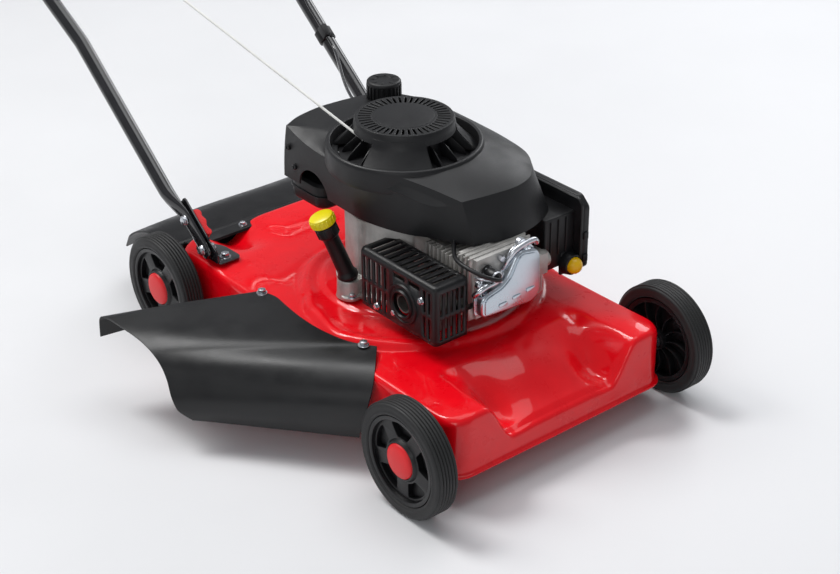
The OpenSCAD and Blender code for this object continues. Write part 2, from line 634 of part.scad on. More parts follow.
// ---------------------------------------------------------------- lower handle
tube_x = 217;
straight_l = 405;
splay_l = 525;
lower_end_l = 880;
knob_l = 820;
tube_r = lower_tube_d / 2;
kink_swell = 0.4;
module tube_between(a, b, r) {
  v = b - a;
  translate(a) rotate([0, acos(v[2] / norm(v)), atan2(v[1], v[0])]) cylinder(r = r, h = norm(v));
}

module lower_tube() difference() {
  union() {
    tube_between(hp(tube_x, 84), hp(tube_x, straight_l), tube_r);
    tube_between(hp(tube_x, straight_l), hp(splay_x, splay_l), tube_r);
    tube_between(hp(splay_x, splay_l), hp(splay_x, lower_end_l), tube_r);
    translate(hp(tube_x, straight_l)) sphere(r = tube_r + kink_swell, $fn = 48);
    translate(hp(splay_x, splay_l)) sphere(r = tube_r + kink_swell, $fn = 48);
    on_handle(0, 0) translate([bracket_x0 + bracket_t + 0.5, -15, -15]) cube([8, 30, 108]);
  }
  rod_x(200, 220, pivot_y, pivot_z, 4.08);
  rod_x(200, 220, along(latch_dist)[0], along(latch_dist)[1], 4.08);
  rod_x(210, 250, along(knob_l)[0], along(knob_l)[1], 3.1);
  on_handle(tube_x, 100) cylinder(r = tube_r - 2, h = straight_l - 110);
  on_handle(splay_x, splay_l + 10) cylinder(r = tube_r - 2, h = lower_end_l - splay_l);
}

module lower_handle_right() color(black_paint) place() mirror_x(true) lower_tube();
module lower_handle_left() color(black_paint) place() lower_tube();

// Handle bolts: a latch bolt with an eye for the lever's cross pin, and a plain bolt through both
// tubes that carries the wing knob on its outer end.
eye_x = 190;
knob_bolt_r = 3;
knob_bolt_end = 256;
module knob_bolt() {
  rod_x(190, knob_bolt_end, along(knob_l)[0], along(knob_l)[1], knob_bolt_r);
  rod_x(188, 192.6, along(knob_l)[0], along(knob_l)[1], 6, 6);
}

module handle_bolts() color(steel) place() for (side = [0, 1]) mirror_x(side == 1) {
  knob_bolt();
  latch_bolt();
}

module latch_bolt() difference() {
  union() {
    rod_x(200.2, 212.6, along(latch_dist)[0], along(latch_dist)[1], 4);
    rod_x(eye_x + 3, 200.3, along(latch_dist)[0], along(latch_dist)[1], 2.8);
    rod_x(212.5, 217, along(latch_dist)[0], along(latch_dist)[1], 7.5);
    on_handle(eye_x, latch_dist) rotate([90, 0, 0]) translate([0, 0, -2.9]) cylinder(r = 6.5, h = 5.8);
  }
  on_handle(eye_x, latch_dist) rotate([90, 0, 0]) translate([0, 0, -5]) cylinder(r = 3.08, h = 10);
}

// Quick-release lever: two cheeks on a cross pin and a waved finger grip.
module fold_lever() difference() {
  union() {
    for (s = [-1, 1]) on_handle(eye_x, latch_dist) translate([-6, s * 5.8 - 2.5, -16]) cube([12, 5, 16]);
    on_handle(eye_x, latch_dist) rotate([90, 0, 0]) translate([0, 0, -8.3]) difference() {
      cylinder(r = 9, h = 16.6);
      translate([-10, -10, 5]) cube([20, 20, 6.6]);
    }
    on_handle(eye_x, latch_dist) rotate([90, 0, 0]) translate([0, 0, -8.3]) cylinder(r = 3, h = 16.6);
    on_handle(eye_x, latch_dist) translate([-6, -9, -44]) cube([12, 17.3, 33]);
    on_handle(eye_x, latch_dist) translate([-6, 0, -38]) rotate([0, 90, 0]) cylinder(r = 9, h = 12);
  }
  for (i = [0 : 2]) on_handle(eye_x, latch_dist) translate([-7, -13, -17 - i * 10])
    rotate([0, 90, 0]) cylinder(r = 6, h = 14);
}

module fold_lever_right() color(red_paint) place() mirror_x(true) fold_lever();
module fold_lever_left() color(red_paint) place() fold_lever();

// ---------------------------------------------------------------- upper handle
upper_x = 204;
upper_start_l = 792;
bend_r = 70;
bend_lap = 2;
bend_swell = 0.1;
upper_r = upper_tube_d / 2;
module upper_shape(r, open) {
  for (side = [-1, 1]) {
    tube_between(hp(side * upper_x, upper_start_l - open),
      hp(side * upper_x, handle_len - bend_r + bend_lap), r);
    on_handle(side * (upper_x - bend_r), handle_len - bend_r) rotate([90, 0, 0])
      rotate([0, 0, side > 0 ? 0 : 90]) rotate_extrude(angle = 90, $fn = 64)
        translate([bend_r, 0]) circle(r = r + bend_swell, $fn = 48);
  }
  cross_x = upper_x - bend_r + bend_lap;
  rod_x(-cross_x, cross_x, along(handle_len)[0], along(handle_len)[1], r, 48);
}

module upper_handle() color(black_paint) place() difference() {
  upper_shape(upper_r, 0);
  upper_shape(upper_r - 1.5, 1);
  for (side = [-1, 1]) {
    rod_x(side * upper_x - 12, side * upper_x + 12, along(knob_l)[0], along(knob_l)[1], 3.1);
    rod_x(side * (upper_x - 6) - 6, side * (upper_x - 6) + 6, along(bail_l)[0], along(bail_l)[1], 4.1);
  }
}

module knob() difference() {
  union() {
    rod_x(242, 252, along(knob_l)[0], along(knob_l)[1], 9);
    on_handle(0, knob_l) translate([251, -5, -24]) cube([12, 10, 48]);
    rod_x(251, 264, along(knob_l)[0], along(knob_l)[1], 12);
  }
  rod_x(240, knob_bolt_end + 1, along(knob_l)[0], along(knob_l)[1], knob_bolt_r + 0.08);
}

module knob_right() color(black_plastic) place() mirror_x(true) knob();
module knob_left() color(black_plastic) place() knob();

// ---------------------------------------------------------------- bail lever and brake cable
bail_l = 1120;
bail_angle = 28;
bail_len = 118;
bail_x = 184;
bail_r = 4;
module bail_lever() color(black_paint) place() {
  c = along(bail_l);
  d = handle_slope + bail_angle;
  tip = [c[0] + bail_len * cos(d), c[1] + bail_len * sin(d)];
  for (side = [-1, 1]) {
    tube_between([side * bail_x, c[0], c[1]], [side * bail_x, tip[0], tip[1]], bail_r);
    rod_x(side > 0 ? bail_x : -bail_x - 16, side > 0 ? bail_x + 16 : -bail_x, c[0], c[1], bail_r);
    translate([side * bail_x, tip[0], tip[1]]) sphere(r = bail_r, $fn = 32);
    translate([side * bail_x, c[0], c[1]]) sphere(r = bail_r, $fn = 32);
  }
  rod_x(-bail_x, bail_x, tip[0], tip[1], bail_r);
}

// Route of the brake cable: along the left handle leg, through the clip and down to the engine.
cable_r = 3;
cable_end = [cable_stop_x, cable_stop_y - 9, cable_stop_z];
cable_lead_in = [cable_stop_x, cable_stop_y + 64, cable_stop_z];
cable_route = concat(
  [for (l = [1096 : -24 : 976]) hp(196, l, 17)],
  [for (i = [0 : 5]) hp(198 + i * 5.4, 952 - i * 11, 18)],
  [for (l = [872 : -24 : 530]) hp(227, l, 18)],
  [for (l = [505 : -25 : 355]) hp(222 - (505 - l) * 0.1, l, 18)],
  [for (l = [330, 314, 300, 286]) hp(207, l, 18)],
  [for (i = [0 : 12]) bezier(hp(207, 270, 18), hp(205, 235, 20), cable_lead_in, cable_end, i / 12)]);
module brake_cable() color(black_plastic) place() cord(cable_route, cable_r, 8);

module cable_clip(x, l, r, dx) on_handle(x, l) difference() {
  union() {
    translate([0, 0, -11]) cylinder(r = r + 3, h = 22);
    translate([dx - 6, -26, -11]) cube([12, 14, 22]);
  }
  translate([0, 0, -12]) cylinder(r = r + 0.2, h = 24);
  translate([dx, -18, -12]) cylinder(r = 3.3, h = 24, $fn = 24);
  translate([-4, 6, -12]) cube([8, 20, 24]);
}

module cable_clips() color(black_plastic) place() {
  cable_clip(tube_x, 300, tube_r, -10);
  cable_clip(splay_x, 640, tube_r, -2);
}

deck();
discharge_chute();
deck_bolts();
handle_bracket_right();
handle_bracket_left();
pivot_bolts();
flap_rod();
rear_flap();
axle_bolts();
front_right_rim();
front_right_tyre();
front_right_hub_cap();
front_left_rim();
front_left_tyre();
front_left_hub_cap();
rear_right_rim();
rear_right_tyre();
rear_right_hub_cap();
rear_left_rim();
rear_left_tyre();
rear_left_hub_cap();
crankcase();
cylinder_head();
valve_cover();
engine_bolts();
spark_plug();
plug_lead();
muffler();
muffler_guard();
carburettor();
governor_link();
air_filter_base();
air_filter_cover();
primer_bulb();
blower_housing();
recoil_housing();
recoil_pulley();
fuel_tank();
fuel_cap();
oil_filler_tube();
dipstick();
crankshaft();
flywheel();
blade_adapter();
cutting_blade();
blade_bolt();
starter_rope();
starter_grip();
rope_guide();
lower_handle_right();
lower_handle_left();
handle_bolts();
fold_lever_right();
fold_lever_left();
upper_handle();
knob_right();
knob_left();
bail_lever();
brake_cable();
cable_clips();
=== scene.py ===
"""Push lawn mower: the visible pieces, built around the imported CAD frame."""
import bpy
import bmesh
from math import atan2, cos, degrees, exp, hypot, pi, radians, sin
from mathutils import Matrix, Vector


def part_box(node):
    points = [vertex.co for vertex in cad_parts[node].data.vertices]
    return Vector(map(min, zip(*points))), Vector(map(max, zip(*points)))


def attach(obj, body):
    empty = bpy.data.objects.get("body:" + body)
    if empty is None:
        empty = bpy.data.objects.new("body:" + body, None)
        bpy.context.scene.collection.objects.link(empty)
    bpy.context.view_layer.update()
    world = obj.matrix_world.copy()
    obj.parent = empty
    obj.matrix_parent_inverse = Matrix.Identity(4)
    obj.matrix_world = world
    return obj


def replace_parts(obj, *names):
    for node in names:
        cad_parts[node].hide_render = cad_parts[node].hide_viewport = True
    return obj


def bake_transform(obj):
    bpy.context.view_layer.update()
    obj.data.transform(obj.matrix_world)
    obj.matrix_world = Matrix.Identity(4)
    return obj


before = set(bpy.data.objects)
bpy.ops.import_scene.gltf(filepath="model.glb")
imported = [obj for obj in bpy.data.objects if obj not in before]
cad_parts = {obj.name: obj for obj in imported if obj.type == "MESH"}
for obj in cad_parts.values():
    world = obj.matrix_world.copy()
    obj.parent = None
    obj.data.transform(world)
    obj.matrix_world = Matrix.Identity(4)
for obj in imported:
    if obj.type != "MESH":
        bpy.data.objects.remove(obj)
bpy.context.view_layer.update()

MM = 0.001
DECK_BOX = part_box("deck")
TYRE_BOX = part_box("front_right_tyre")
MIDDLE_X = (DECK_BOX[0].x + DECK_BOX[1].x) / 2
AXLE_Y = (TYRE_BOX[0].y + TYRE_BOX[1].y) / 2

# Dimensions shared by several pieces, in millimetres from the front axle and the middle plane.
CRANK_Y = 318
WHEEL_R = 89
TYRE_W = 40
WHEELBASE = 636
TRACKS = {"front": 552, "rear": 536}
SLOPE = radians(38.8)
PIVOT = (574, 168)
TUBE_X = 217
SPLAY_X = 229


def at(x, y, z):
    """A point given from the front axle and the middle plane, in the row frame."""
    return Vector((MIDDLE_X + x * MM, AXLE_Y + y * MM, z * MM))


def handle(x, l, o=0.0):
    """A point at distance l along the handle from its pivot, o above its line."""
    return Vector((x, PIVOT[0] + l * cos(SLOPE) - o * sin(SLOPE),
                   PIVOT[1] + l * sin(SLOPE) + o * cos(SLOPE)))


# ---- small maths
def smooth(a, b, t):
    t = min(max((t - a) / (b - a), 0.0), 1.0)
    return t * t * (3 - 2 * t)


def lerp(a, b, t):
    return a + (b - a) * t


def bell(t, middle, width):
    return exp(-((t - middle) / width) ** 2)


def smooth_min(a, b, k):
    h = max(k - abs(a - b), 0.0) / k
    return min(a, b) - h * h * k / 4


def through(points, per=8, closed=False, sharp=()):
    """Points of a smooth curve through the given points; it may turn sharply at some of them."""
    pts = [Vector(p) for p in points]
    n = len(pts)
    out = []
    for i in range(n if closed else n - 1):
        a, b = pts[i], pts[(i + 1) % n]
        before = pts[(i - 1) % n] if closed or i > 0 else a
        after = pts[(i + 2) % n] if closed or i + 2 < n else b
        ta = (b - a) if i in sharp else (b - before) / 2
        tb = (b - a) if (i + 1) % n in sharp else (after - a) / 2
        limit = (b - a).length
        if ta.length > limit:
            ta = ta.normalized() * limit
        if tb.length > limit:
            tb = tb.normalized() * limit
        for k in range(per):
            t = k / per
            h1, h2 = 2 * t ** 3 - 3 * t ** 2 + 1, t ** 3 - 2 * t ** 2 + t
            h3, h4 = -2 * t ** 3 + 3 * t ** 2, t ** 3 - t ** 2
            out.append(a * h1 + ta * h2 + b * h3 + tb * h4)
    if not closed:
        out.append(pts[-1])
    return out


def axes(origin, x_dir, y_dir):
    """The local frame with that origin and those X and Y directions."""
    x = Vector(x_dir).normalized()
    z = x.cross(Vector(y_dir)).normalized()
    y = z.cross(x)
    m = Matrix((x, y, z)).transposed().to_4x4()
    m.translation = Vector(origin)
    return m


def upright(x, y, z=0):
    """The local frame at that point with the axes of the mower."""
    return Matrix.Translation((x, y, z))


def lift(z):
    """A shift along local Z."""
    return Matrix.Translation((0, 0, z))


def turn(angle):
    """A turn about local Z by that many degrees."""
    return Matrix.Rotation(radians(angle), 4, "Z")


def radial(angle, side):
    """The local frame of an upright plate that points outwards at that angle, shifted sideways."""
    return turn(angle) @ axes((0, side, 0), (1, 0, 0), (0, 0, 1))


UP = Vector((0, 0, 1))
UPRIGHT = Matrix.Identity(4)
ON_SIDE = ((0, 1, 0), (0, 0, 1))
ON_FRONT = ((1, 0, 0), (0, 0, 1))
ON_RIGHT = ((0, -1, 0), (0, 0, 1))
AHEAD = Vector((0, cos(SLOPE), sin(SLOPE)))
ABOVE = Vector((0, -sin(SLOPE), cos(SLOPE)))


# ---- mesh tools
def new_object(name, data):
    obj = bpy.data.objects.new(name, data)
    bpy.context.scene.collection.objects.link(obj)
    return obj


def shade(mesh, angle):
    """Smooth shading, sharp at edges steeper than angle."""
    mesh.polygons.foreach_set("use_smooth", [True] * len(mesh.polygons))
    mesh.set_sharp_from_angle(angle=radians(angle))


def build(name, verts, faces, material, place=UPRIGHT, angle=32):
    """An object from points in a local frame, in millimetres."""
    mesh = bpy.data.meshes.new(name)
    mesh.from_pydata([at(*(place @ Vector(v))) for v in verts], [], faces)
    mesh.validate()
    bm = bmesh.new()
    bm.from_mesh(mesh)
    bmesh.ops.remove_doubles(bm, verts=bm.verts, dist=2e-6)
    bmesh.ops.recalc_face_normals(bm, faces=bm.faces)
    bmesh.ops.dissolve_degenerate(bm, edges=bm.edges, dist=1e-7)
    bm.to_mesh(mesh)
    bm.free()
    shade(mesh, angle)
    mesh.materials.append(material)
    return new_object(name, mesh)


def face_along(obj, outward):
    """Turns the faces round when most of their area points against outward(face)."""
    if sum(p.normal.dot(outward(p)) * p.area for p in obj.data.polygons) < 0:
        obj.data.flip_normals()


def grid_faces(rows, cols, wrap_cols=False, wrap_rows=False):
    faces = []
    for i in range(rows if wrap_rows else rows - 1):
        for j in range(cols if wrap_cols else cols - 1):
            a, b = i * cols + j, i * cols + (j + 1) % cols
            c, d = ((i + 1) % rows) * cols + (j + 1) % cols, ((i + 1) % rows) * cols + j
            faces.append((a, b, c, d))
    return faces


def loft(name, sections, material):
    """A capped skin through closed sections of equal count."""
    cols = len(sections[0])
    last = (len(sections) - 1) * cols
    faces = grid_faces(len(sections), cols, wrap_cols=True)
    faces += [tuple(range(cols))[::-1], tuple(last + k for k in range(cols))]
    return build(name, [v for s in sections for v in s], faces, material)


def lathe(name, profile, material, place=UPRIGHT, segments=64, start=0.0, arc=360.0, angle=32):
    """A profile of (radius, height) turned about the local Z axis."""
    full = arc >= 360
    count = segments if full else segments + 1
    verts = []
    for i in range(count):
        a = radians(start + arc * i / segments)
        verts += [(r * cos(a), r * sin(a), z) for r, z in profile]
    cols = len(profile)
    closed = profile[0] == profile[-1]
    faces = grid_faces(count, cols, wrap_rows=full)
    if not full and closed:
        faces.append(tuple(range(cols - 1)))
        faces.append(tuple((count - 1) * cols + k for k in range(cols - 1))[::-1])
    return build(name, verts, faces, material, place, angle)


def tube(name, points, radius, material, sides=20, squash=None):
    """A round bar or hose along points; squash(i) gives (width, height) factors and an up vector."""
    pts = [Vector(p) for p in points]
    n = len(pts)
    tangent = (pts[1] - pts[0]).normalized()
    side = tangent.cross(UP)
    if side.length < 0.1:
        side = tangent.cross(Vector((1, 0, 0)))
    side.normalize()
    sections = []
    for i in range(n):
        t = (pts[min(i + 1, n - 1)] - pts[max(i - 1, 0)]).normalized()
        side = (side - t * side.dot(t)).normalized()
        up = t.cross(side)
        r = radius(i) if callable(radius) else radius
        w, h, u, v = r, r, side, up
        if squash:
            fw, fh, want = squash(i)
            v = (Vector(want) - t * Vector(want).dot(t)).normalized()
            u = v.cross(t)
            w, h = r * fw, r * fh
        sections.append([pts[i] + u * (w * cos(2 * pi * k / sides))
                         + v * (h * sin(2 * pi * k / sides)) for k in range(sides)])
    return loft(name, sections, material)


def circle(r, cx=0.0, cy=0.0, n=32):
    return [(cx + r * cos(2 * pi * k / n), cy + r * sin(2 * pi * k / n))
            for k in range(n)]


def rounded(x0, x1, y0, y1, r, n=4):
    """The outline of a rectangle with round corners."""
    r = min(r, (x1 - x0) / 2 - 0.01, (y1 - y0) / 2 - 0.01)
    out = []
    for cx, cy, a0 in ((x1 - r, y1 - r, 0), (x0 + r, y1 - r, 90), (x0 + r, y0 + r, 180),
                       (x1 - r, y0 + r, 270)):
        for k in range(n + 1):
            a = radians(a0 + 90 * k / n)
            out.append((cx + r * cos(a), cy + r * sin(a)))
    return out


def round_corners(points, r, n=4):
    """The same outline with its corners rounded to radius r."""
    out = []
    count = len(points)
    for i in range(count):
        p, a, b = Vector(points[i]), Vector(points[i - 1]), Vector(points[(i + 1) % count])
        da, db = a - p, b - p
        cut = min(r, da.length * 0.45, db.length * 0.45)
        p0, p1 = p + da.normalized() * cut, p + db.normalized() * cut
        for k in range(n + 1):
            t = k / n
            q = p0 * (1 - t) ** 2 + p * 2 * t * (1 - t) + p1 * t ** 2
            out.append((q.x, q.y))
    return out


def plate(name, outline, holes, thick, edge, material, place=UPRIGHT, steps=1):
    """A flat plate from z = 0 to thick with holes and eased edges."""
    curve = bpy.data.curves.new(name, "CURVE")
    curve.dimensions = "2D"
    curve.fill_mode = "BOTH"
    curve.extrude = thick / 2 - edge
    curve.bevel_depth = edge
    curve.bevel_resolution = steps
    curve.offset = -edge
    for loop in [outline] + list(holes):
        spline = curve.splines.new("POLY")
        spline.points.add(len(loop) - 1)
        for point, p in zip(spline.points, loop):
            point.co = (p[0], p[1], 0, 1)
        spline.use_cyclic_u = True
    holder = new_object(name, curve)
    depsgraph = bpy.context.evaluated_depsgraph_get()
    mesh = bpy.data.meshes.new_from_object(holder.evaluated_get(depsgraph))
    bpy.data.objects.remove(holder)
    bpy.data.curves.remove(curve)
    verts = [(v.co.x, v.co.y, v.co.z + thick / 2) for v in mesh.vertices]
    faces = [tuple(p.vertices) for p in mesh.polygons]
    bpy.data.meshes.remove(mesh)
    return build(name, verts, faces, material, place, 28)


def block(name, lo, hi, material, r=3.0, edge=1.0):
    """A moulded block: a rounded plan with eased edges."""
    high = hi[2] - lo[2]
    return plate(name, rounded(lo[0], hi[0], lo[1], hi[1], r), [], high, min(edge, high / 2.2), material,
                 lift(lo[2]), 2)


def bevel(obj, width=0.5, segments=2, angle=30):
    m = obj.modifiers.new("bevel", "BEVEL")
    m.width = width * MM
    m.segments = segments
    m.limit_method = "ANGLE"
    m.angle_limit = radians(angle)
    m.harden_normals = True


def solidify(obj, thick):
    """Gives a sheet its thickness, inwards from its outer face."""
    m = obj.modifiers.new("solidify", "SOLIDIFY")
    m.thickness = thick * MM
    m.offset = -1
    m.use_even_offset = True


def apply_modifiers(obj):
    bpy.context.view_layer.update()
    depsgraph = bpy.context.evaluated_depsgraph_get()
    mesh = bpy.data.meshes.new_from_object(obj.evaluated_get(depsgraph))
    obj.modifiers.clear()
    obj.data = mesh


def cut(obj, *cutters):
    """Takes the cutters' volume out of obj and removes them."""
    for cutter in cutters:
        m = obj.modifiers.new("cut", "BOOLEAN")
        m.operation = "DIFFERENCE"
        m.solver = "EXACT"
        m.object = cutter
    apply_modifiers(obj)
    for cutter in cutters:
        bpy.data.objects.remove(cutter)


def join(name, parts):
    """One object from several."""
    bm = bmesh.new()
    materials = []
    for p in parts:
        offset = len(bm.faces)
        bm.from_mesh(p.data)
        bm.faces.ensure_lookup_table()
        slots = list(p.data.materials)
        for m in slots:
            if m not in materials:
                materials.append(m)
        for f in bm.faces[offset:]:
            f.material_index = materials.index(slots[f.material_index])
    mesh = bpy.data.meshes.new(name)
    bm.to_mesh(mesh)
    bm.free()
    for m in materials:
        mesh.materials.append(m)
    for p in parts:
        bpy.data.objects.remove(p)
    return new_object(name, mesh)


def add(obj, body="chassis", slot="black_plastic", *nodes):
    """Puts a piece on its body and lets it stand for the CAD nodes it shows."""
    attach(obj, body)
    if nodes:
        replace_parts(obj, *nodes)
    return obj


# ---- materials
def material(name, color, rough, metallic=0.0, coat=0.0, coat_rough=0.05, tone=0.12, rough_range=0.1,
             scale=30.0, grain=0.0, grain_scale=1800.0, wear=None, sheen=0.0, specular=0.5):
    """A shader with uneven tone and gloss, a fine grain, and worn spots of (color, share, scale)."""
    m = bpy.data.materials.new(name)
    m.use_nodes = True
    nodes, links = m.node_tree.nodes, m.node_tree.links

    def put(node, **values):
        for key, value in values.items():
            node.inputs[key.replace("_", " ")].default_value = value
        return node

    def noise(**values):
        node = put(nodes.new("ShaderNodeTexNoise"), **values)
        links.new(coords, node.inputs["Vector"])
        return node.outputs["Fac"]

    def ranged(source, **values):
        node = put(nodes.new("ShaderNodeMapRange"), **values)
        links.new(source, node.inputs["Value"])
        return node.outputs["Result"]

    shader = put(nodes["Principled BSDF"], Metallic=metallic, Coat_Weight=coat, Coat_Roughness=coat_rough,
                 Specular_IOR_Level=specular, Sheen_Weight=sheen)
    coords = nodes.new("ShaderNodeTexCoord").outputs["Object"]
    cloud = noise(Scale=scale, Detail=6, Roughness=0.6)
    ramp = nodes.new("ShaderNodeValToRGB")
    for end, place, change in zip(ramp.color_ramp.elements, (0.3, 0.7), (1 - tone, 1 + tone)):
        end.position = place
        end.color = [min(1, c * change) for c in color] + [1]
    links.new(cloud, ramp.inputs["Fac"])
    base = ramp.outputs["Color"]
    if wear:
        spot_color, share, spot_scale = wear
        spots = noise(Scale=spot_scale, Detail=8, Roughness=0.75)
        mix = nodes.new("ShaderNodeMix")
        mix.data_type = "RGBA"
        links.new(ranged(spots, From_Min=1 - share, From_Max=1 - share + 0.12), mix.inputs["Factor"])
        links.new(base, mix.inputs[6])
        mix.inputs[7].default_value = list(spot_color) + [1]
        base = mix.outputs[2]
    links.new(base, shader.inputs["Base Color"])
    gloss = ranged(cloud, From_Min=0.3, From_Max=0.7, To_Min=max(0.02, rough - rough_range),
                   To_Max=min(1.0, rough + rough_range))
    links.new(gloss, shader.inputs["Roughness"])
    if grain:
        bump = put(nodes.new("ShaderNodeBump"), Strength=grain, Distance=0.0004)
        links.new(noise(Scale=grain_scale, Detail=3), bump.inputs["Height"])
        links.new(bump.outputs["Normal"], shader.inputs["Normal"])
    return m


RED_PAINT = material("deck_red", (0.86, 0.001, 0.008), 0.3, coat=0.6, coat_rough=0.03, specular=0.15,
                     tone=0.05, rough_range=0.06, grain=0.05, grain_scale=260)
RED_PLASTIC = material("red_plastic", (0.80, 0.025, 0.03), 0.42, specular=0.3, tone=0.06, grain=0.12,
                       grain_scale=1500)
ENAMEL = material("black_paint", (0.012, 0.012, 0.014), 0.2, coat=0.8, coat_rough=0.06, tone=0.25,
                  grain=0.08, grain_scale=500)
SHROUD = material("shroud_plastic", (0.0078, 0.008, 0.009), 0.44, specular=0.42, tone=0.12, rough_range=0.07,
                  grain=0.35, grain_scale=1600)
BLACK = material("black_plastic", (0.0055, 0.0055, 0.0065), 0.4, specular=0.42, tone=0.2, grain=0.3,
                 grain_scale=1500)
CHUTE = material("chute_plastic", (0.0085, 0.0087, 0.0095), 0.36, specular=0.45, tone=0.12, rough_range=0.08,
                 grain=0.3, grain_scale=900, scale=16)
RUBBER = material("tyre_rubber", (0.014, 0.014, 0.0145), 0.58, tone=0.25, grain=0.5, grain_scale=900,
                  wear=((0.05, 0.048, 0.045), 0.36, 60))
ZINC = material("zinc_steel", (0.63, 0.65, 0.69), 0.26, metallic=1.0, tone=0.12, rough_range=0.12,
                grain=0.15, grain_scale=900, scale=55)
ZINC_COVER = material("zinc_cover", (0.60, 0.66, 0.72), 0.3, metallic=1.0, tone=0.1, rough_range=0.08,
                      grain=0.12, grain_scale=500, scale=25)
CAST = material("cast_aluminium", (0.5, 0.49, 0.47), 0.5, metallic=0.85, tone=0.18, grain=0.9,
                grain_scale=700, scale=45, wear=((0.3, 0.28, 0.25), 0.34, 90))
YELLOW = material("yellow_plastic", (0.88, 0.74, 0.0), 0.34, tone=0.05, grain=0.1, grain_scale=900)
AMBER = material("primer_rubber", (0.85, 0.5, 0.0), 0.3, tone=0.06, grain=0.08, grain_scale=600)
ROPE = material("white_rope", (0.8, 0.8, 0.77), 0.75, tone=0.1, grain=0.8, grain_scale=900, sheen=0.3)
BLADE = material("blade_steel", (0.2, 0.2, 0.215), 0.42, metallic=0.9, tone=0.2, grain=0.3,
                 wear=((0.09, 0.06, 0.045), 0.4, 70))
MUFFLER = material("muffler_steel", (0.16, 0.15, 0.14), 0.5, metallic=0.9, tone=0.3, grain=0.4,
                   wear=((0.10, 0.06, 0.04), 0.42, 60))
FLOOR = material("studio_floor", (0.78, 0.785, 0.80), 0.55, tone=0.015, rough_range=0.05, scale=2)


# ---- stage
FLOOR_HALF = 9.0
WORLD_STRENGTH = 0.3
SUN_ENERGY, SUN_ANGLE, SUN_FROM = 1.05, 16, Vector((-0.12, 0.55, 1))
LAMP_TARGET = Vector((0, -0.3, 0.15))
# name, place in metres, size, power, tint
LAMPS = (("key_light", (-1.2, 1.6, 2.9), 1.3, 44, (1, 0.99, 0.97)),
         ("top_light", (0.7, -0.4, 3.1), 2.2, 28, (0.98, 0.99, 1)),
         ("front_fill", (-2.6, -2.4, 1.9), 1.4, 14, (1, 1, 1)),
         ("side_rim", (2.8, 0.6, 1.7), 1.2, 20, (0.97, 0.98, 1)))
LENS = 76.3
EYE = (-1545.5, -1594.6, 1508.5)
EYE_TURN, EYE_DOWN, EYE_ROLL = (radians(a) for a in (-39.45, 29.23, -0.36))


def make_stage():
    mesh = bpy.data.meshes.new("floor")
    mesh.from_pydata([(x * FLOOR_HALF, y * FLOOR_HALF, 0) for x, y in ((-1, -1), (1, -1), (1, 1), (-1, 1))],
                     [], [(0, 1, 2, 3)])
    mesh.materials.append(FLOOR)
    new_object("floor", mesh)
    world = bpy.data.worlds.new("studio")
    bpy.context.scene.world = world
    world.use_nodes = True
    back = world.node_tree.nodes["Background"]
    back.inputs["Color"].default_value = (0.93, 0.95, 1.0, 1)
    back.inputs["Strength"].default_value = WORLD_STRENGTH
    sun = bpy.data.lights.new("soft_sun", "SUN")
    sun.energy = SUN_ENERGY
    sun.angle = radians(SUN_ANGLE)
    new_object("soft_sun", sun).rotation_euler = SUN_FROM.to_track_quat("Z", "Y").to_euler()
    for name, where, size, power, tint in LAMPS:
        light = bpy.data.lights.new(name, "AREA")
        light.shape = "SQUARE"
        light.size = size
        light.energy = power
        light.color = tint
        lamp = new_object(name, light)
        lamp.location = where
        lamp.rotation_euler = (LAMP_TARGET - lamp.location).to_track_quat("-Z", "Y").to_euler()


def make_camera():
    camera = bpy.data.cameras.new("camera")
    camera.lens = LENS
    camera.sensor_width = 36
    eye = new_object("camera", camera)
    eye.location = at(*EYE)
    eye.rotation_euler = (Matrix.Rotation(EYE_TURN, 3, "Z") @ Matrix.Rotation(pi / 2 - EYE_DOWN, 3, "X")
                          @ Matrix.Rotation(EYE_ROLL, 3, "Z")).to_euler()
    bpy.context.scene.camera = eye
    bpy.context.scene.view_settings.view_transform = "Standard"


# ---- deck
DECK_HALF_W = 212
DECK_FRONT = -45
DECK_REAR = 656
DECK_CORNER_R = 34
DRUM_R = 234
DRUM_BLEND = 26
DECK_SHEET = 1.8
CHUTE_OPENING = ((-400, -190), (214, 404), (60, 126))
# angle about the crankshaft in degrees, radius there
RING_AT = ((-180, 206), (-154, 210), (-134, 212), (-110, 214), (-90, 216), (-60, 214), (-20, 208), (20, 200),
           (60, 180), (90, 164), (130, 166), (159, 168), (176, 182), (180, 206))


def ring_radius(angle):
    """Radius of the raised volute around the engine at that angle in degrees."""
    if angle > 176:
        return lerp(182, 206, smooth(176, 206, angle if angle > 0 else angle + 360))
    if angle < -154:
        return lerp(182, 210, smooth(176, 206, angle + 360))
    for (a0, r0), (a1, r1) in zip(RING_AT, RING_AT[1:]):
        if a0 <= angle <= a1:
            return lerp(r0, r1, smooth(a0, a1, angle))
    return 206


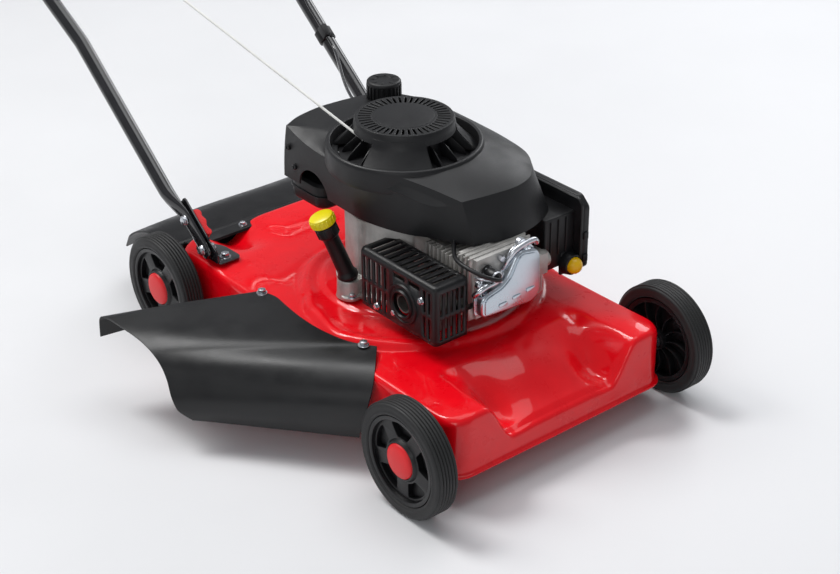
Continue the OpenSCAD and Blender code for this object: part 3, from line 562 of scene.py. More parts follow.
def deck_top(x, y):
    """Height of the pressed deck's upper face."""
    ax = abs(x)
    r = hypot(x, y - CRANK_Y)
    angle = degrees(atan2(y - CRANK_Y, x))
    ring = ring_radius(angle)
    # the flat top, then the raised volute, the engine platform and the bead round the volute
    h = 141.5 + 2.5 * smooth(DECK_HALF_W, 150, ax)
    h += 8.5 * smooth(ring + 7, ring - 6, r)
    h += 5.5 * smooth(140, 128, r)
    h += 3.0 * bell(r, ring - 12, 9)
    # the low bonnet in front, with a pressed dish either side of its middle
    if y < 110:
        middle = smooth(150, 98, ax)
        rise = smooth(-36, 96, y)
        bonnet = 83 + 5 * smooth(-38, -31, y) + 62 * (0.45 * rise + 0.55 * min(max((y + 36) / 132, 0), 1))
        bonnet += 12 * bell(x, -6, 60) * bell(y, 26, 40)
        bonnet -= 15 * bell(ax, 92, 21) * bell(y, 4, 32)
        h = lerp(lerp(h, min(bonnet, h), middle), h, smooth(70, 110, y))
        h -= 5 * bell(ax, 126, 11) * bell(y, 66, 17)
        h += 4 * bell(ax, 176, 26) * bell(y, -10, 40)
    # the rear humps beside two valleys
    if y > 520:
        h -= 24 * bell(ax, 118, 30) * smooth(548, 650, y)
        h += 5 * bell(ax, 178, 30) * smooth(520, 545, y)
        h += 5 * smooth(96, 40, ax) * smooth(540, 620, y)
    return h


def deck_edge(x, y):
    """Distance outside the deck's plan: a rounded rectangle merged with the round drum."""
    qx = abs(x) - (DECK_HALF_W - DECK_CORNER_R)
    qy = abs(y - (DECK_FRONT + DECK_REAR) / 2) - ((DECK_REAR - DECK_FRONT) / 2 - DECK_CORNER_R)
    rect = hypot(max(qx, 0), max(qy, 0)) + min(max(qx, qy), 0) - DECK_CORNER_R
    return smooth_min(rect, hypot(x, y - CRANK_Y) - DRUM_R, DRUM_BLEND)


def deck_outline(count):
    """Evenly spaced points of the deck's plan outline."""
    pts = []
    for i in range(1800):
        a = 2 * pi * i / 1800
        lo, hi = 100.0, 520.0
        for _ in range(30):
            mid = (lo + hi) / 2
            if deck_edge(mid * cos(a), CRANK_Y + mid * sin(a)) < 0:
                lo = mid
            else:
                hi = mid
        pts.append(Vector((lo * cos(a), CRANK_Y + lo * sin(a))))
    lengths = [0.0]
    for i in range(len(pts)):
        lengths.append(lengths[-1] + (pts[(i + 1) % len(pts)] - pts[i]).length)
    out, k = [], 0
    for i in range(count):
        want = lengths[-1] * i / count
        while lengths[k + 1] < want:
            k += 1
        t = (want - lengths[k]) / (lengths[k + 1] - lengths[k])
        out.append(pts[k].lerp(pts[(k + 1) % len(pts)], t))
    return out


def make_deck():
    outline = deck_outline(520)
    centre = Vector((0, CRANK_Y))
    lip = ((5.5, 48.3), (6.2, 49.6), (5.6, 51.2), (3.2, 52.2), (1.0, 53.4), (0.0, 56.0))
    wall_steps, round_steps, top_steps = 6, 6, 84
    verts = []
    for edge in outline:
        inward = centre - edge
        reach = inward.length
        inward /= reach
        fillet = 9.0 if edge.y < -30 and abs(edge.x) < 180 else 12.0
        head = deck_top(edge.x + inward.x * 3, edge.y + inward.y * 3)
        for out_by, z in lip:
            p = edge - inward * out_by
            verts.append((p.x, p.y, z))
        for k in range(1, wall_steps + 1):
            verts.append((edge.x, edge.y, lerp(56, head - fillet, k / wall_steps)))
        for k in range(1, round_steps + 1):
            a = pi / 2 * k / round_steps
            p = edge + inward * fillet * (1 - cos(a))
            flat = deck_top(p.x, p.y)
            verts.append((p.x, p.y, min(flat, lerp(head, flat, k / round_steps)) - fillet * (1 - sin(a))))
        for k in range(1, top_steps + 1):
            p = edge + inward * lerp(fillet, reach - 26, k / top_steps)
            verts.append((p.x, p.y, deck_top(p.x, p.y)))
    cols = len(lip) + wall_steps + round_steps + top_steps
    faces = []
    for f in grid_faces(len(outline), cols, wrap_rows=True):
        mid = [sum(verts[i][k] for i in f) / 4 for k in range(3)]
        if not all(a < m < b for m, (a, b) in zip(mid, CHUTE_OPENING)):
            faces.append(f)
    shell = build("deck_shell", verts, faces, RED_PAINT, angle=50)
    face_along(shell, lambda p: UP)
    solidify(shell, DECK_SHEET)
    add(shell, "chassis", "deck_red", "deck")


# ---- discharge chute
# the chute's edge at the deck and its mouth, from the front foot over the roof to the rear
CHUTE_INNER = ((-240, 134, 45), (-240, 124, 76), (-234, 119, 105), (-220, 125, 129), (-197, 147, 147),
               (-168, 180, 152.5), (-192, 218, 153.5), (-203, 270, 153.5), (-204, 320, 153.5),
               (-200, 362, 153.5), (-196, 396, 153.5), (-203, 423, 153.5), (-206, 431, 151),
               (-207, 434, 145))
CHUTE_MOUTH = ((-400, 330, 45), (-416, 342, 62), (-420, 352, 82), (-417, 366, 104), (-416, 382, 122),
               (-416, 406, 135), (-417, 430, 142), (-420, 455, 147), (-423, 478, 149.5), (-425, 500, 150.5),
               (-427, 515, 150.5), (-429, 527, 147), (-430, 532, 139), (-430, 534, 110))


def make_chute():
    inner = through(CHUTE_INNER, 7, sharp=(5,))
    mouth = through(CHUTE_MOUTH, 7)
    across = 40
    verts = []
    for a, b in zip(inner, mouth):
        for k in range(across + 1):
            t = k / across
            p = a.lerp(b, t)
            flare = 5 * smooth(0.9, 1.0, t)
            verts.append((p.x - flare * 0.2, p.y, p.z + 2.0 * sin(pi * t) * smooth(60, 150, p.z)))
    faces = grid_faces(len(inner), across + 1)
    shell = build("chute_shell", verts, faces, CHUTE, angle=60)
    face_along(shell, lambda p: UP)
    solidify(shell, 3.2)
    bevel(shell, 0.9, 2, 50)
    add(shell, "chassis", "chute_plastic", "discharge_chute")
    for x, y in ((-206, 419), (-182, 194)):
        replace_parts(bolt("chute_bolt", (x, y, 153.6), UP, 6.6, 5, 9), "deck_bolts")


def bolt(name, base, direction, r, h, washer, body="chassis"):
    """A hexagon bolt head on a washer, seated at base and pointing along direction."""
    d = Vector(direction).normalized()
    x = d.cross(UP if abs(d.z) < 0.9 else Vector((0, 1, 0)))
    place = axes(base, x, d.cross(x))
    parts = [lathe(name, [(2, 0), (washer - 0.4, 0), (washer, 0.4), (washer - 0.5, 1.5), (2, 1.5)], ZINC,
                   place, 32),
             plate(name, circle(r, n=6), [], h, 0.7, ZINC, place @ lift(1.5), 2),
             lathe(name, [(0, h + 1.9), (r * 0.55, h + 1.9), (r * 0.78, h + 1.0), (r * 0.80, h + 0.4)],
                   ZINC, place, 24)]
    return add(join(name, parts), body, "zinc_steel")


# ---- wheels
TREAD_RIBS = 6
TREAD_INSET = 4.2
SPOKES = 5
BACK_RIBS = 12


def sector(r, angle):
    return (r * cos(radians(angle)), r * sin(radians(angle)))


def make_wheel(corner, sign, track, y):
    """The tyre, rim and hub cap of one wheel; local Z runs inwards from the outer face."""
    place = axes((sign * track / 2, y, WHEEL_R), (0, -sign, 0), (0, 0, 1))
    body = corner + "_wheel"
    half = [(69.3, 5), (70.2, 2.4), (72.5, 1.0), (75, 1.2), (76, 1.9), (81, 1.0), (84.6, 1.9), (86.6, 3.6)]
    ribs = []
    width = (TYRE_W - 2 * TREAD_INSET) / TREAD_RIBS
    for i in range(TREAD_RIBS):
        z = TREAD_INSET + i * width
        ribs += [(86.6, z + 0.35), (88.4, z + 0.7), (88.9, z + 1.5), (89, z + width / 2),
                 (88.9, z + width - 1.5), (88.4, z + width - 0.7), (86.6, z + width - 0.35)]
    profile = half + ribs + [(r, TYRE_W - z) for r, z in reversed(half)] + [half[0]]
    tyre = lathe(corner + "_tyre_tread", profile, RUBBER, place, 96, angle=50)
    add(tyre, body, "tyre", corner + "_tyre")
    dish = lathe("rim", [(69.1, 4), (68.4, 3.0), (64, 3.0), (62.6, 3.8), (61.6, 9.5), (61.6, 17), (30, 18.4),
                         (16, 18.4), (16, TYRE_W - 2), (14, TYRE_W - 1), (6.3, TYRE_W - 1), (6.3, 21),
                         (30, 21.5), (60, 20.5), (61, TYRE_W - 4), (63, TYRE_W - 3), (68, TYRE_W - 3),
                         (69.1, TYRE_W - 5), (69.1, 4)], BLACK, place, 96, angle=35)
    flank = ((36, 15), (38, 17), (55, 23), (57.5, 22))
    wedges = []
    for i in range(SPOKES):
        mid = i * 360 / SPOKES + 18
        loop = [sector(r, mid - s) for r, s in flank]
        loop += [sector(57.8, mid + s) for s in range(-18, 19, 6)]
        loop += [sector(r, mid + s) for r, s in reversed(flank)]
        wedges.append(loop + [sector(35.6, mid + s) for s in (10, 0, -10)])
    face = plate("rim_face", circle(61.9, n=96), wedges, 9.5, 0.9, BLACK,
                 place @ lift(8.6), 2)
    collar = lathe("rim_collar", [(33, 9), (31.5, 6.4), (29.6, 4.4), (27.8, 4.2), (27.8, 9), (33, 9)],
                   BLACK, place, 64)
    ribs = []
    bent = [(14 + 47.5 * k / 6, 7 * sin(pi * k / 6)) for k in range(7)]
    outline = [(r, w - 0.9) for r, w in bent] + [(r, w + 0.9) for r, w in reversed(bent)]
    for i in range(BACK_RIBS):
        ribs.append(plate("rib", outline, [], 13, 0.4, BLACK,
                          place @ turn(i * 360 / BACK_RIBS) @ lift(20.2)))
    rim = join(corner + "_rim_disc", [dish, face, collar] + ribs)
    add(rim, body, "black_plastic", corner + "_rim")
    cap = lathe(corner + "_cap", [(0, -1.4), (8, -1.25), (16, -0.7), (21.5, 0.2), (24.6, 1.3), (26.6, 3.0),
                                  (27.0, 5.5), (26, 6), (0, 6)], RED_PLASTIC, place, 64, angle=45)
    add(cap, body, "red_plastic", corner + "_hub_cap")


def make_wheels():
    for end, track, y in (("front", TRACKS["front"], 0), ("rear", TRACKS["rear"], WHEELBASE)):
        for side, sign in (("right", -1), ("left", 1)):
            make_wheel(end + "_" + side, sign, track, y)


# ---- blower housing and starter
# the housing's foot, its crease and its upper lip at twenty matching places
HOUSING_FOOT = ((-97, 440), (-97, 380), (-99, 308), (-92, 263), (-76, 218), (-57, 188), (-41, 154),
                (-25, 128), (31, 112), (93, 120), (144, 150), (158, 200), (160, 262), (160, 330), (155, 400),
                (141, 452), (96, 508), (0, 522), (-60, 514), (-96, 502))
HOUSING_CREASE = ((-98, 440, 368), (-99, 380, 363), (-100, 308, 364), (-95, 256, 362), (-80, 212, 356),
                  (-63, 181, 349), (-44, 160, 350), (-33, 147, 358), (17, 137, 359), (63, 134, 359),
                  (106, 150, 359), (142, 196, 364), (152, 256, 367), (154, 330, 369), (150, 400, 372),
                  (136, 449, 377), (94, 500, 380), (0, 515, 381), (-60, 507, 381), (-94, 494, 379))
HOUSING_LIP = ((128.5, 373), (147.4, 363), (185.8, 360), (196, 360), (206, 363), (215, 370), (222, 377),
               (223.6, 385), (262, 386.5), (292, 386), (316, 385), (334, 383), (349, 382), (364, 381),
               (388, 381), (403.5, 382), (423, 383), (450, 383.5), (467, 383), (477.6, 381))
SHARP_CORNERS = (6, 7, 19)
RING_R = 118.5
HOUSING_Z = 291.5


def make_blower_housing():
    per = 6
    foot = through([(x, y, HOUSING_Z) for x, y in HOUSING_FOOT], per, True, SHARP_CORNERS)
    crease = through(HOUSING_CREASE, per, True, SHARP_CORNERS)
    centre = Vector((0, CRANK_Y, 0))
    tops = []
    for (x, y, z), (angle, height) in zip(HOUSING_CREASE, HOUSING_LIP):
        a = radians(angle)
        r = min(RING_R, hypot(x, y - CRANK_Y) - 3)
        tops.append((r * cos(a), CRANK_Y + r * sin(a), height))
    top = through(tops, per, True, SHARP_CORNERS)
    rows = [foot]
    for t in (0.06, 0.25, 0.5, 0.75, 0.93):
        row = []
        for a, b in zip(foot, crease):
            p = a.lerp(b, t)
            out = p - centre
            out.z = 0
            row.append(p + out.normalized() * 1.6 * sin(pi * t))
        rows.append(row)
    rows.append(crease)
    for k in range(1, 7):
        t = k / 6
        rows.append([a.lerp(b, t) + Vector((0, 0, 1.8 * sin(pi * t))) for a, b in zip(crease, top)])
    verts = [v for row in rows for v in row]
    shell = build("housing_shell", verts, grid_faces(len(rows), len(foot), wrap_cols=True), SHROUD, angle=28)
    mid = at(0, CRANK_Y, 330)
    face_along(shell, lambda p: p.center - mid)
    solidify(shell, 3)
    apply_modifiers(shell)
    arch = lathe("arch", [(0, -150), (37, -150), (37, -60), (0, -60)], SHROUD,
                 axes((0, 424, HOUSING_Z - 2), *ON_SIDE), 40)
    cut(shell, arch)
    shade(shell.data, 26)
    bevel(shell, 2.2, 3, 24)
    ring = lathe("lip_ring", [(120.5, 354), (121.5, 358), (121, 384), (120.2, 388.5), (118, 390.6),
                              (115.5, 390.9), (113.2, 389.8), (112.2, 387), (111.8, 364), (112.5, 356),
                              (116, 354), (120.5, 354)],
                 SHROUD, upright(0, CRANK_Y), 128, angle=40)
    stop = lathe("cable_stop", [(0, 502), (8, 502), (7.6, 532), (6.6, 535.4), (4.2, 536), (3.3, 534),
                                (3.3, 526), (0, 526)], SHROUD, axes((92, 0, 338), (0, 0, 1), (1, 0, 0)), 40)
    add(shell, "chassis", "black_plastic", "blower_housing")
    add(ring)
    add(stop)
    for y, z in ((486, 346), (470, 318)):
        screw = lathe("housing_screw", [(0, 0), (4.6, 0), (5, 0.8), (4.6, 3), (3, 3.8), (2.4, 3.8),
                                        (2.2, 2.6), (0, 2.6)], BLACK, axes((-97, y, z), *ON_RIGHT), 24)
        add(screw)


DISC_SLOTS = 44
DRUM_FINS = 18
PILLARS = (104, 224, 344)
PILLAR_HALF = 30


def make_recoil():
    centre = upright(0, CRANK_Y)
    slots = []
    for i in range(DISC_SLOTS):
        spin = Matrix.Rotation(2 * pi * i / DISC_SLOTS, 2)
        slots.append([spin @ Vector(p) for p in rounded(50, 70.5, -1.65, 1.65, 1.6, 3)])
    parts = [plate("disc", circle(75.4, n=96), slots, 3.6, 1.1, SHROUD,
                   centre @ lift(424.2), 3)]
    parts.append(lathe("rim", [(73, 424.5), (75.3, 426.6), (76.6, 424.5), (77.4, 416), (78.2, 409),
                               (75.2, 409), (74.4, 416), (73, 424.5)], SHROUD, centre, 96, angle=40))
    parts.append(lathe("badge", [(0, 428.5), (44, 428.5), (45.6, 428.1), (46.6, 427.0), (0, 427)], SHROUD,
                       centre, 96, angle=30))
    pillar = [(77.8, 418), (79.6, 409), (83.5, 403), (103, 382), (111.2, 375), (111.4, 371), (105, 371),
              (99, 380), (79, 401), (75.6, 409), (74.4, 418), (77.8, 418)]
    for a in PILLARS:
        parts.append(lathe("pillar", pillar, SHROUD, centre, 16, a - PILLAR_HALF, 2 * PILLAR_HALF, 25))
    parts.append(lathe("base", [(111.6, 370), (111.8, 374.6), (110, 375.6), (102, 375.6), (100.5, 374),
                                (100.5, 370), (111.6, 370)], SHROUD, centre, 96, angle=30))
    web = [(62, 380), (101, 376), (108, 376), (80, 405), (77, 412), (62, 412)]
    for a in PILLARS:
        for side in (-PILLAR_HALF - 0.5, PILLAR_HALF + 0.5):
            parts.append(plate("web", web, [], 2.4, 0.5, SHROUD, centre @ radial(a + side, 1.2)))
    cage = join("recoil_cage", parts)
    bevel(cage, 0.8, 2, 40)
    add(cage, "chassis", "black_plastic", "recoil_housing")
    inner = [lathe("drum", [(0, 421), (60, 421), (63.5, 419), (64.5, 386), (68, 379), (100, 372), (100, 370),
                            (0, 370)], BLACK, centre, 96, angle=30)]
    fin = [(63, 374), (96, 374), (92, 382), (72, 400), (63, 402)]
    for i in range(DRUM_FINS):
        inner.append(plate("fin", fin, [], 2.2, 0.4, BLACK,
                           centre @ radial(i * 360 / DRUM_FINS + 7, 1.1)))
    drum = join("starter_drum", inner)
    add(drum)
    bush = lathe("rope_bush", [(2.6, -2), (4.2, -1.2), (4.6, 0.8), (3.6, 2.2), (2.6, 1.6), (2.6, -2)], BLACK,
                 axes((-62.5, 330, 397.4), (0, -1, 0.2), (0.5, 0, -0.6)), 24)
    add(bush)


def ribs_round(count, r, half, z0, z1, corner, thick, edge, material, place):
    """Upright ribs at even turns round a body of radius r."""
    shape = rounded(-half, half, z0, z1, corner, 2)
    stand = axes((r, 0, 0), *ON_SIDE)
    return [plate("rib", shape, [], thick, edge, material, place @ turn(360 * i / count) @ stand)
            for i in range(count)]


CAP_AT = (88, 478)
CAP_TOP = 412.5


def make_fuel_cap():
    place = upright(*CAP_AT)
    top = CAP_TOP
    parts = [lathe("cap", [(0, top - 1.8), (13, top - 1.6), (14, top - 0.4), (23, top), (26, top - 0.8),
                           (27.6, top - 2.8), (27.8, top - 6), (26.6, top - 7), (26.6, 381), (27.8, 380),
                           (28.8, 378), (28.8, 374.2), (21, 374.2), (21, 396), (0, 396)], SHROUD, place, 96,
                   angle=40)]
    parts += ribs_round(24, 25.6, 1.6, 380, top - 6.6, 1.3, 2.8, 0.9, SHROUD, place)
    for i in range(8):
        parts.append(plate("top_rib", rounded(14.5, 23.5, -2.2, 2.2, 1.5, 2), [], 1.6, 0.5, SHROUD,
                           place @ turn(45 * i) @ lift(top - 1.0), 1))
    add(join("fuel_cap_knurled", parts), "filler_cap", "black_plastic", "fuel_cap")


TANK_LO = (-80, 428, 246)
TANK_HI = (118, 516, 291)
SEAM_OUT = 2
SEAM_Z = (268, 271)


def make_tank():
    body = block("tank_body", TANK_LO, TANK_HI, BLACK, r=20, edge=12)
    neck = lathe("tank_neck", [(17, 286), (20, 286), (20, 376), (17, 376), (17, 286)], BLACK,
                 upright(*CAP_AT), 48)
    seam = block("seam", (TANK_LO[0] - SEAM_OUT, TANK_LO[1] - SEAM_OUT, SEAM_Z[0]),
                 (TANK_HI[0] + SEAM_OUT, TANK_HI[1] + SEAM_OUT, SEAM_Z[1]), BLACK, r=20, edge=1)
    add(join("tank_moulding", [body, neck, seam]), "chassis", "black_plastic", "fuel_tank")


BRACKET_X = 200.5
BRACKET_SHEET = 3.0
BRACKET_TAB_Z = 150.2


def make_brackets():
    for side, name in ((-1, "right"), (1, "left")):
        inner = side * BRACKET_X
        cheek_x = min(inner, side * (BRACKET_X + BRACKET_SHEET))
        pivot = Vector((0, *PIVOT))
        face = [(-14, -15), (0, -17), (86, -17), (90, -13), (90, 13), (86, 17), (8, 17), (-16, 4)]
        parts = [plate("cheek", round_corners(face, 5), [circle(4.2, 0, 0, 20)], BRACKET_SHEET, 0.6, ENAMEL,
                       axes(pivot + Vector((cheek_x, 0, 0)), AHEAD, ABOVE), 2)]
        lip = round_corners([(0, -8), (11, 0), (11, 84), (8, 90), (0, 90)], 3)
        parts.append(plate("flange", lip, [], 2.6, 0.6, ENAMEL,
                           axes(pivot + Vector((inner, 0, 0)) - ABOVE * (17 if side < 0 else 14.4),
                                (-side, 0, 0), AHEAD), 2))
        tab = [(160, 546), (166, 538), (196, 538), (202, 544), (202, 606), (196, 612), (176, 612),
               (162, 590)]
        tab = [(side * x, y) for x, y in tab][::side]
        parts.append(plate("tab", round_corners(tab, 8), [], BRACKET_SHEET, 0.6, ENAMEL,
                           lift(BRACKET_TAB_Z), 2))
        web = [(543, 150.4), (608, 150.4), (604, 172), (590, 190), (560, 180), (545, 168)]
        parts.append(plate("web", round_corners(web, 6), [], BRACKET_SHEET, 0.6, ENAMEL,
                           axes((cheek_x, 0, 0), *ON_SIDE), 2))
        add(join("bracket_channel_" + name, parts), "chassis", "black_paint", "handle_bracket_" + name)
        for y, r, h, washer in ((555, 7.2, 5.6, 9.5), (596, 6.4, 5, 8.5)):
            bolt("bracket_bolt", (side * 182, y, BRACKET_TAB_Z + 3.2), UP, r, h, washer)


# ---- exhaust
GUARD_LO = (-126, 96, 172)
GUARD_HI = (-66, 268, 268)
GUARD_R = 7.0
OUTLET = (170, 213)


def within(value, spans):
    return any(a < value < b for a, b in spans)


def make_guard():
    x_flat, y_flat, z_flat = GUARD_LO[0] + GUARD_R, GUARD_LO[1] + GUARD_R, GUARD_HI[2] - GUARD_R
    rows = ((179.0, 213.0), (220.0, 256.0))
    front_cols = [(-117.5 + 10 * i, -112.0 + 10 * i) for i in range(5)]
    side_cols = [(208.0 + 12 * i, 214.0 + 12 * i) for i in range(5)] + [(108.0, 113.0), (119.0, 124.0)]
    hoods, hood_row = ((132.0, 158.0), (166.0, 192.0)), ((250.0, 257.5),)
    lid_cols, lid_span = [(110.0 + 14 * i, 116.5 + 14 * i) for i in range(11)], ((-117.5, -72.0),)
    xs = sorted({x_flat, float(GUARD_HI[0])} | {x for col in front_cols for x in col})
    spans = [*side_cols, *hoods, *lid_cols]
    ys = sorted({y_flat, float(GUARD_HI[1])} | {y for span in spans for y in span})
    zs = sorted({float(GUARD_LO[2]), z_flat, *hood_row[0]} | {z for row in rows for z in row})

    def section(inset):
        """One slice of the cover, up its side, over the round edge and across its lid."""
        pts = [("side", GUARD_LO[0] + inset, z) for z in zs]
        r = GUARD_R - inset
        for k in range(1, 5):
            a = pi / 2 * k / 5
            pts.append(("arc", x_flat - r * cos(a), z_flat + r * sin(a)))
        return pts + [("lid", x, GUARD_HI[2] - inset) for x in xs]

    slices = []
    for k in range(5, -1, -1):
        a = pi / 2 * k / 5
        slices.append((y_flat - GUARD_R * sin(a), section(GUARD_R * (1 - cos(a)))))
    slices += [(y, section(0)) for y in ys[1:]]
    verts = [(x, y, z) for y, pts in slices for kind, x, z in pts]
    kinds = [kind for y, pts in slices for kind, x, z in pts]
    faces = []
    for f in grid_faces(len(slices), len(slices[0][1])):
        x, y, z = (sum(verts[i][k] for i in f) / 4 for k in range(3))
        kind = {kinds[i] for i in f}
        open_side = within(y, side_cols) and within(z, rows) or within(y, hoods) and within(z, hood_row)
        open_lid = within(y, lid_cols) and within(x, lid_span)
        if y <= y_flat or not (kind == {"side"} and open_side or kind == {"lid"} and open_lid):
            faces.append(f)
    base = len(verts)
    verts += [(x, GUARD_LO[1], z) for z in zs for x in xs]
    for f in grid_faces(len(zs), len(xs)):
        x, z = (sum(verts[base + i][k] for i in f) / 4 for k in (0, 2))
        if not (within(x, front_cols) and within(z, rows)):
            faces.append(tuple(base + i for i in f))
    shell = build("guard_shell", verts, faces, BLACK, angle=40)
    mid = at(-80, 190, 200)
    face_along(shell, lambda p: p.center - mid)
    solidify(shell, 3)
    apply_modifiers(shell)
    side = axes((GUARD_LO[0], OUTLET[0], OUTLET[1]), *ON_RIGHT)
    cut(shell, lathe("bore", [(0, -12), (19, -12), (19, 12), (0, 12)], BLACK, side, 48))
    bevel(shell, 1.1, 2, 40)
    ring = lathe("guard_ring", [(19, -3), (18.4, 3), (19.6, 5.4), (22, 5.6), (23.2, 4), (23.6, 1.6),
                                (27.5, 1.6), (28.6, 3), (31, 3), (32, 1.6), (32.4, -1), (19, -3)], BLACK,
                 side, 64)
    guard = join("muffler_guard_cage", [shell, ring])
    add(guard, "chassis", "black_plastic", "muffler_guard")
    body = block("muffler_body", (-112, 106, 186), (-76, 244, 252), MUFFLER, r=9, edge=6)
    pipe = lathe("outlet", [(11, -6), (12.6, 13), (14.4, 13.4), (15.4, 12), (15.4, -6), (11, -6)], MUFFLER,
                 axes((-112, OUTLET[0], OUTLET[1]), *ON_RIGHT), 48)
    inlet = lathe("inlet", [(9, 0), (9, 24), (0, 24)], MUFFLER, axes((-77, 112, 214), *ON_SIDE), 32)
    add(join("muffler_box", [body, pipe, inlet]), "chassis", "muffler_steel", "muffler")
    for y, z in ((190, 190), (232, 182), (128, 236)):
        bolt("guard_bolt", (-126, y, z), (-1, 0, 0), 4.6, 3, 6)


# ---- cylinder head side
COVER = ((-56, 203), (41, 197), (53, 203), (59, 214), (58, 272), (50, 284), (20, 290), (9, 283), (-6, 256),
         (-20, 246), (-48, 240), (-56, 232))


def grown(outline, d):
    """The outline moved outwards by d along its corner normals."""
    out = []
    n = len(outline)
    for i in range(n):
        a, p, b = (Vector(outline[k % n]) for k in (i - 1, i, i + 1))
        t = ((p - a).normalized() + (b - p).normalized()).normalized()
        out.append((p.x + t.y * d, p.y - t.x * d))
    return out


def make_valve_cover():
    body = plate("pan", round_corners(COVER, 9), [], 18, 4.5, ZINC_COVER, axes((0, 91.5, 0), *ON_FRONT), 4)
    face = plate("face", round_corners(grown(COVER, -5.5), 7), [], 3.0, 0.9, ZINC_COVER,
                 axes((0, 74.6, 0), *ON_FRONT), 2)
    flange = plate("flange", round_corners(grown(COVER, 3.0), 8), [], 3.2, 1.2, ZINC,
                   axes((0, 91.7, 0), *ON_FRONT), 2)
    parts = [body, face, flange]
    for i in range(3):
        x = -26 + i * 27
        z = 212 + i * 3.4
        parts.append(plate("bar", rounded(x, x + 17, z, z + 6.4, 3, 4), [], 2.2, 0.8, ZINC_COVER,
                           axes((0, 72.2, 0), *ON_FRONT), 2))
    for x, z in ((-47, 252), (30, 294), (55, 250)):
        parts.append(lathe("lug", [(0, 0), (8.6, 0), (8.6, 6.5), (7.4, 7.8), (0, 7.8)], ZINC,
                           axes((x, 91.6, z), *ON_FRONT), 32))
    cover = join("valve_cover_pressing", parts)
    add(cover, "chassis", "zinc_steel", "valve_cover")
    rims = ([(-2, 90, 262), (2, 84, 278), (12, 80, 291), (30, 79, 297), (50, 80, 296), (58, 84, 288)],
            [(-58, 90, 236), (-56, 82, 245), (-44, 78, 252), (-24, 78, 254), (-12, 82, 262)])
    for k, pts in enumerate(rims):
        add(tube("cover_rim_%d" % (k + 1), through(pts, 8), 4.4, ZINC, 20), "chassis", "zinc_steel")
    for x, z in ((30, 294), (-47, 252)):
        bolt("cover_bolt", (x, 83.8, z), (0, -1, 0), 5.4, 4.4, 7.4)
    boot = lathe("plug_boot", [(0, 26.5), (5, 26.4), (7.6, 25), (8.8, 21), (9.2, 12), (8.6, 4), (10.2, 3.2),
                               (10.4, 0.6), (9.4, 0), (0, 0)], BLACK, axes((-34, 91, 268), *ON_FRONT), 40)
    add(boot)
    turns, per, coil_r, coil_length = 11, 12, 4.2, 40
    spring = []
    for i in range(turns * per + 1):
        a = 2 * pi * i / per
        spring.append((-48 + coil_length * i / (turns * per), 104 + coil_r * cos(a),
                       283.5 + coil_r * sin(a)))
    add(tube("throttle_spring", spring, 0.8, ZINC, 8), "chassis", "zinc_steel")
    for name, r, sides, pts in (
            ("throttle_link", 1.2, 10, [(-8, 104, 283.5), (4, 102, 284), (22, 99, 281), (30, 97, 276)]),
            ("lead_stay", 1.8, 12, [(-52, 96, 262), (-48, 84, 262), (-30, 76, 257), (-18, 74, 252)])):
        add(tube(name, through(pts, 6), r, ZINC, sides), "chassis", "zinc_steel")


LID = ((103.4, 197), (109, 191.5), (244, 191.5), (249.6, 197), (249.6, 300), (232, 313.5), (120, 313.5),
       (103.4, 298))


def make_air_filter():
    base = [block("case", (108, 118, 204), (170, 244, 291), BLACK, r=4, edge=2.5),
            plate("frame", round_corners(((103, 196), (108, 190), (245, 190), (250, 196), (250, 306),
                                          (236, 313), (112, 313), (103, 304)), 4), [], 5.5, 1.4, BLACK,
                  axes((168.4, 0, 0), *ON_SIDE), 2),
            block("foot", (142, 117.2, 187), (172, 123, 226), BLACK, r=3, edge=2)]
    for y in (128, 220):
        base.append(block("ledge", (169, y, 186), (197, y + 5, 189.1), BLACK, r=1.2, edge=0.6))
        base.append(block("ledge_root", (169, y, 186), (173.8, y + 5, 194), BLACK, r=1.2, edge=0.6))
    for i in range(3):
        base.append(block("rib", (118 + i * 16, 115.6, 227), (120.5 + i * 16, 119, 286), BLACK, r=1,
                          edge=0.6))
    snorkel = lathe("cone", [(19, 0), (19.5, 2), (17.4, 10), (16.6, 13.5), (14.2, 14.4), (13.5, 12),
                             (13.4, 4), (19, 0)],
                    BLACK, axes((157, 118, 206), *ON_FRONT), 48)
    add(join("filter_case", base + [snorkel]), "chassis", "black_plastic", "air_filter_base")
    bulb = [(0, 20.6), (4.5, 19.8), (8.6, 17.6), (11.6, 14.2), (13.0, 10), (13.2, 6), (12.4, 2.5),
            (13.2, 0.6), (13.2, 0), (0, 0)]
    ball = lathe("primer_ball", bulb, AMBER, axes((157, 110.6, 206), *ON_FRONT), 48, angle=60)
    add(ball, "primer", "yellow_plastic", "primer_bulb")
    side = axes((174.6, 0, 0), *ON_SIDE)
    panel = [(lerp(176, y, 0.86), lerp(252, z, 0.86)) for y, z in LID]
    lid = [plate("lid", round_corners(LID, 5), [], 12, 2.2, BLACK, side, 3),
           plate("panel", round_corners(panel, 5), [], 6.4, 2.4, BLACK, side @ lift(11.2), 3)]
    for i in range(6):
        lid.append(plate("grip", rounded(106, 118, 226 + i * 7.5, 230 + i * 7.5, 1.6, 2), [], 2.2, 0.8,
                         BLACK, side @ lift(11.4), 1))
    for z in (206, 244):
        lid.append(block("clip", (174.8, 100.8, z), (184, 104.2, z + 12), BLACK, r=1.2, edge=0.8))
    lid.append(lathe("bead", [(0, 120), (2.5, 120), (2.5, 233), (0, 233)], BLACK,
                     axes((193, 0, 192), (0, 0, 1), (1, 0, 0)), 24))
    add(join("filter_lid", lid), "filter_cover", "black_plastic", "air_filter_cover")


FILLER_AT = (-112, 318)


